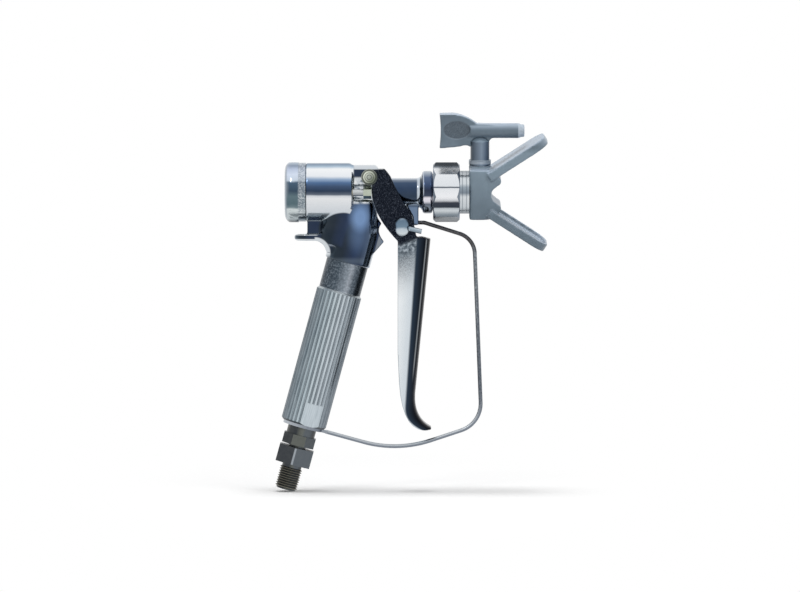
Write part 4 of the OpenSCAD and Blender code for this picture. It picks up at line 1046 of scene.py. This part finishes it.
class SPRAYGUN_OT_stage(bpy.types.Operator):
    """Set up the camera, the lamps, the world and the floor"""

    bl_idname = "spraygun.stage"
    bl_label = "Stage"

    def execute(self, context):
        scene = context.scene
        scene.view_settings.view_transform = "Standard"
        lens = bpy.data.cameras.new("camera")
        lens.lens = 225
        lens.sensor_width = 36
        lens.clip_end = 100
        view = bpy.data.objects.new("camera", lens)
        backward = Vector((0.0, -math.cos(VIEW_TILT), math.sin(VIEW_TILT)))
        view.location = GUN_ORIGIN + VIEW_CENTRE + VIEW_DISTANCE * backward
        view.rotation_euler = (math.pi / 2 - VIEW_TILT, 0.0, 0.0)
        scene.collection.objects.link(view)
        scene.camera = view
        self.light_world(scene)
        self.lamp("key_lamp", (-0.9, -1.3, 1.7), 0.5, 3.0, True)
        self.lamp("fill_lamp", (1.4, -1.2, 0.9), 1.6, 9.0, False)
        self.lamp("top_lamp", (0.03, 0.0, 1.5), 0.5, 11.0, False)
        self.lay_floor()
        return {"FINISHED"}

    def light_world(self, scene):
        """White to the camera and in gloss, softer as a light."""
        world = bpy.data.worlds.new("studio")
        world.use_nodes = True
        sky = Shading(world.node_tree)
        kinds = ("Is Camera Ray", "Is Glossy Ray", "Is Transmission Ray")
        in_view, in_gloss, in_glass = (sky.node("ShaderNodeLightPath", output=kind) for kind in kinds)
        soft = sky.node("ShaderNodeBackground", {}, {"Color": WHITE, "Strength": 0.50})
        white = sky.node("ShaderNodeBackground", {}, {"Color": WHITE, "Strength": 1.0})
        seen = in_view.top(in_gloss).top(in_glass)
        blend = sky.node("ShaderNodeMixShader", {}, {0: seen, 1: soft, 2: white})
        sky.node("ShaderNodeOutputWorld", {}, {"Surface": blend})
        scene.world = world

    def lamp(self, name, place, size, power, in_gloss):
        """A round lamp that faces the gun."""
        light = bpy.data.lights.new(name, "AREA")
        light.shape = "DISK"
        light.size = size
        light.energy = power
        made = bpy.data.objects.new(name, light)
        made.location = place
        made.visible_glossy = in_gloss
        aim = LAMP_AIM - Vector(place)
        made.rotation_euler = aim.to_track_quat("-Z", "Y").to_euler()
        bpy.context.scene.collection.objects.link(made)

    def lay_floor(self):
        """A white floor that keeps the gun's shadow near it."""
        finish = Finish("floor_paper", roughness=1.0)
        dust = finish.noise(900.0, 2.0)
        finish.set(base_color=finish.mix(dust, (0.86, 0.86, 0.86, 1.0), (0.88, 0.88, 0.88, 1.0)))
        finish.set(specular_ior_level=0.0)
        x, y, _ = finish.parts(finish.gun_mm())
        aside, behind = (x - 5) / 112, y / 260
        far = (aside * aside + behind * behind).root().past(1.0, 0.9)
        in_view = finish.node("ShaderNodeLightPath", output="Is Camera Ray")
        in_gloss = finish.node("ShaderNodeLightPath", output="Is Glossy Ray")
        lift = finish.node("ShaderNodeEmission", {}, {"Color": WHITE, "Strength": 0.08})
        white = finish.node("ShaderNodeEmission", {}, {"Color": WHITE, "Strength": 1.0})
        lit = finish.node("ShaderNodeAddShader", {}, {0: finish.surface, 1: lift})
        seen = finish.node("ShaderNodeMixShader", {}, {0: in_view, 1: finish.surface, 2: lit})
        shown = finish.node("ShaderNodeMixShader", {}, {0: (in_view * far).top(in_gloss), 1: seen, 2: white})
        finish.feed(finish.output.inputs["Surface"], shown)
        work = bmesh.new()
        bmesh.ops.create_grid(work, x_segments=1, y_segments=1, size=sizes().floor)
        bmesh.ops.translate(work, verts=work.verts, vec=(0.0, 0.0, cad_box[0].z))
        floor = piece_of("floor", work)
        floor.data.materials.append(finish.material)


class SPRAYGUN_OT_body(bpy.types.Operator):
    """Build the cast body and its end cap"""

    bl_idname = "spraygun.body"
    bl_label = "Body and end cap"

    def execute(self, context):
        cast_piece(
            "body_casting",
            "gun_body",
            "gun",
            body_chrome(),
            sizes().cast_grain,
            rounds=4,
            flow=under_chamber,
            flow_rounds=60,
        )
        smooth_piece("cap_casting", "end_cap", "gun", cap_chrome(), angle=SIDED_EDGE)
        return {"FINISHED"}


class SPRAYGUN_OT_handle(bpy.types.Operator):
    """Build the fluted handle, the filter in it and the inlet under it"""

    bl_idname = "spraygun.handle"
    bl_label = "Handle and inlet"

    def execute(self, context):
        dark = colours().oxide
        grey = colour(72, 76, 84)
        satin = grip_aluminium()
        smooth_piece("handle_grip", "handle_tube", "gun", satin, angle=FLUTED_EDGE)
        smooth_piece("inlet_stub", "inlet_fitting", "gun", oxide("inlet_oxide", dark))
        smooth_piece("swivel_turning", "hose_swivel", "swivel", oxide("swivel_oxide", grey))
        paint("filter_core", soft_stuff("core_plastic", colour(206, 208, 206), colour(226, 228, 226), 0.45))
        paint("filter_mesh", woven_mesh())
        rubber = soft_stuff("seal_rubber", colour(18, 18, 20), colour(34, 34, 36))
        for node in ("handle_gasket", "swivel_seal", "cap_seal", "tip_gasket", "saddle_seal"):
            paint(node, rubber)
        paint("swivel_clip", bright_metal("clip_steel", colour(110, 116, 122), colour(176, 182, 188)))
        return {"FINISHED"}


class SPRAYGUN_OT_trigger(bpy.types.Operator):
    """Build the trigger, its pivot, its lock and the wire guard"""

    bl_idname = "spraygun.trigger"
    bl_label = "Trigger, lock and guard wire"

    def execute(self, context):
        grain = sizes().cast_grain
        chrome = trigger_chrome()
        cast_piece("trigger_casting", "trigger", "trigger_lever", chrome, grain, 3)
        smooth_piece("guard_wire", "trigger_guard", "gun", wire_steel())
        steel = ringed_metal("pivot_steel", colour(104, 112, 104), colour(206, 212, 202))
        smooth_piece("pivot_bolt", "pivot_screw", "gun", steel)
        smooth_piece("pivot_shim", "pivot_washer", "gun", steel)
        green = ringed_metal("passivated_steel", colour(112, 120, 104), colour(222, 228, 214))
        smooth_piece("pivot_lock_nut", "pivot_nut", "gun", green, angle=SIDED_EDGE)
        knob = knob_satin()
        smooth_piece("lock_knob", "lock_pin", "trigger_lock", knob)
        smooth_piece("lock_tail", "lock_lever", "trigger_lock", knob)
        paint("lock_clip", knob)
        return {"FINISHED"}


class SPRAYGUN_OT_needle(bpy.types.Operator):
    """Build the needle, its rods and the valve"""

    bl_idname = "spraygun.needle"
    bl_label = "Needle and valve"

    def execute(self, context):
        green = bright_metal("rod_nut_steel", colour(112, 120, 108), colour(208, 216, 200))
        pale = bright_metal("rod_steel", colour(120, 126, 130), colour(206, 210, 212))
        bronze = bright_metal("bushing_bronze", colour(92, 88, 76), colour(160, 156, 140))
        for side in ("left", "right"):
            smooth_piece(f"pull_rod_{side}", f"actuator_rod_{side}", "needle", pale)
            smooth_piece(f"pull_nut_{side}", f"rod_nut_{side}", "needle", green, angle=SIDED_EDGE)
            paint(f"rod_bushing_{side}", bronze)
        smooth_piece("housing_bead", "valve_housing", "gun", housing_chrome())
        for node in ("needle_shaft", "actuator_yoke", "needle_nut"):
            paint(node, pale)
        spring = smooth_piece("return_spring", "needle_spring", "gun", pale)
        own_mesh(spring)
        carbide = bright_metal("sintered_carbide", colour(70, 72, 76), colour(112, 114, 118), 0.3, 0.4)
        for node in ("valve_ball", "valve_seat", "tip_orifice"):
            paint(node, carbide)
        paint("seat_retainer", pale)
        paint("packing_nut", bright_metal("packing_brass", colour(150, 120, 66), colour(206, 176, 108)))
        ptfe = soft_stuff("seal_plastic", colour(206, 206, 202), colour(228, 228, 224), 0.5)
        for node in ("seat_gasket", "needle_packing"):
            paint(node, ptfe)
        return {"FINISHED"}


class SPRAYGUN_OT_nose(bpy.types.Operator):
    """Build the guard nut, the tip guard and the spray tip"""

    bl_idname = "spraygun.nose"
    bl_label = "Nut, tip guard and tip"

    def execute(self, context):
        grain = sizes().cast_grain
        smooth_piece("nut_casting", "guard_nut", "nut", nut_chrome(), angle=SIDED_EDGE)
        smooth_piece("guard_collar", "guard_ring", "guard", ring_metal())
        tint, light = colours().plastic, colours().plastic_light
        guard_plastic = moulded("guard_plastic", tint, light)
        guard = cast_piece("guard_moulding", "tip_guard", "guard", guard_plastic, grain, 8)
        clear_bore(guard, "tip_stem", TIP_BORE)
        tip_plastic = moulded("tip_plastic", tint, light, recess=True)
        tip = cast_piece("tip_moulding", "tip_handle", "spray_tip", tip_plastic, grain, 4)
        flare_flag(tip)
        smooth_piece("tip_barrel", "tip_stem", "spray_tip", neck_plastic(tint, light))
        return {"FINISHED"}


class SPRAYGUN_PT_panel(bpy.types.Panel):
    """Lists the pieces of the spray gun"""

    bl_idname = "SPRAYGUN_PT_panel"
    bl_label = "Spray gun"
    bl_space_type = "VIEW_3D"
    bl_region_type = "UI"
    bl_category = "Spray gun"

    def draw(self, context):
        layout = self.layout
        for kind in OPERATORS:
            layout.operator(kind.bl_idname)
        for name in ("plastic", "plastic_light", "oxide"):
            layout.prop(context.scene.gun_colours, name)
        for name in ("cast_grain", "floor"):
            layout.prop(context.scene.gun_sizes, name)


OPERATORS = (
    SPRAYGUN_OT_stage,
    SPRAYGUN_OT_body,
    SPRAYGUN_OT_handle,
    SPRAYGUN_OT_trigger,
    SPRAYGUN_OT_needle,
    SPRAYGUN_OT_nose,
)
CLASSES = (GunColours, GunSizes, *OPERATORS, SPRAYGUN_PT_panel)


def register():
    """Adds the operators, the panel and the scene's settings."""
    for kind in CLASSES:
        bpy.utils.register_class(kind)
    bpy.types.Scene.gun_colours = bpy.props.PointerProperty(type=GunColours)
    bpy.types.Scene.gun_sizes = bpy.props.PointerProperty(type=GunSizes)


def unregister():
    """Takes them away again."""
    del bpy.types.Scene.gun_sizes
    del bpy.types.Scene.gun_colours
    for kind in reversed(CLASSES):
        bpy.utils.unregister_class(kind)


def main():
    """Builds everything."""
    register()
    bpy.ops.spraygun.stage()
    bpy.ops.spraygun.body()
    bpy.ops.spraygun.handle()
    bpy.ops.spraygun.trigger()
    bpy.ops.spraygun.needle()
    bpy.ops.spraygun.nose()


if __name__ == "__main__":
    main()
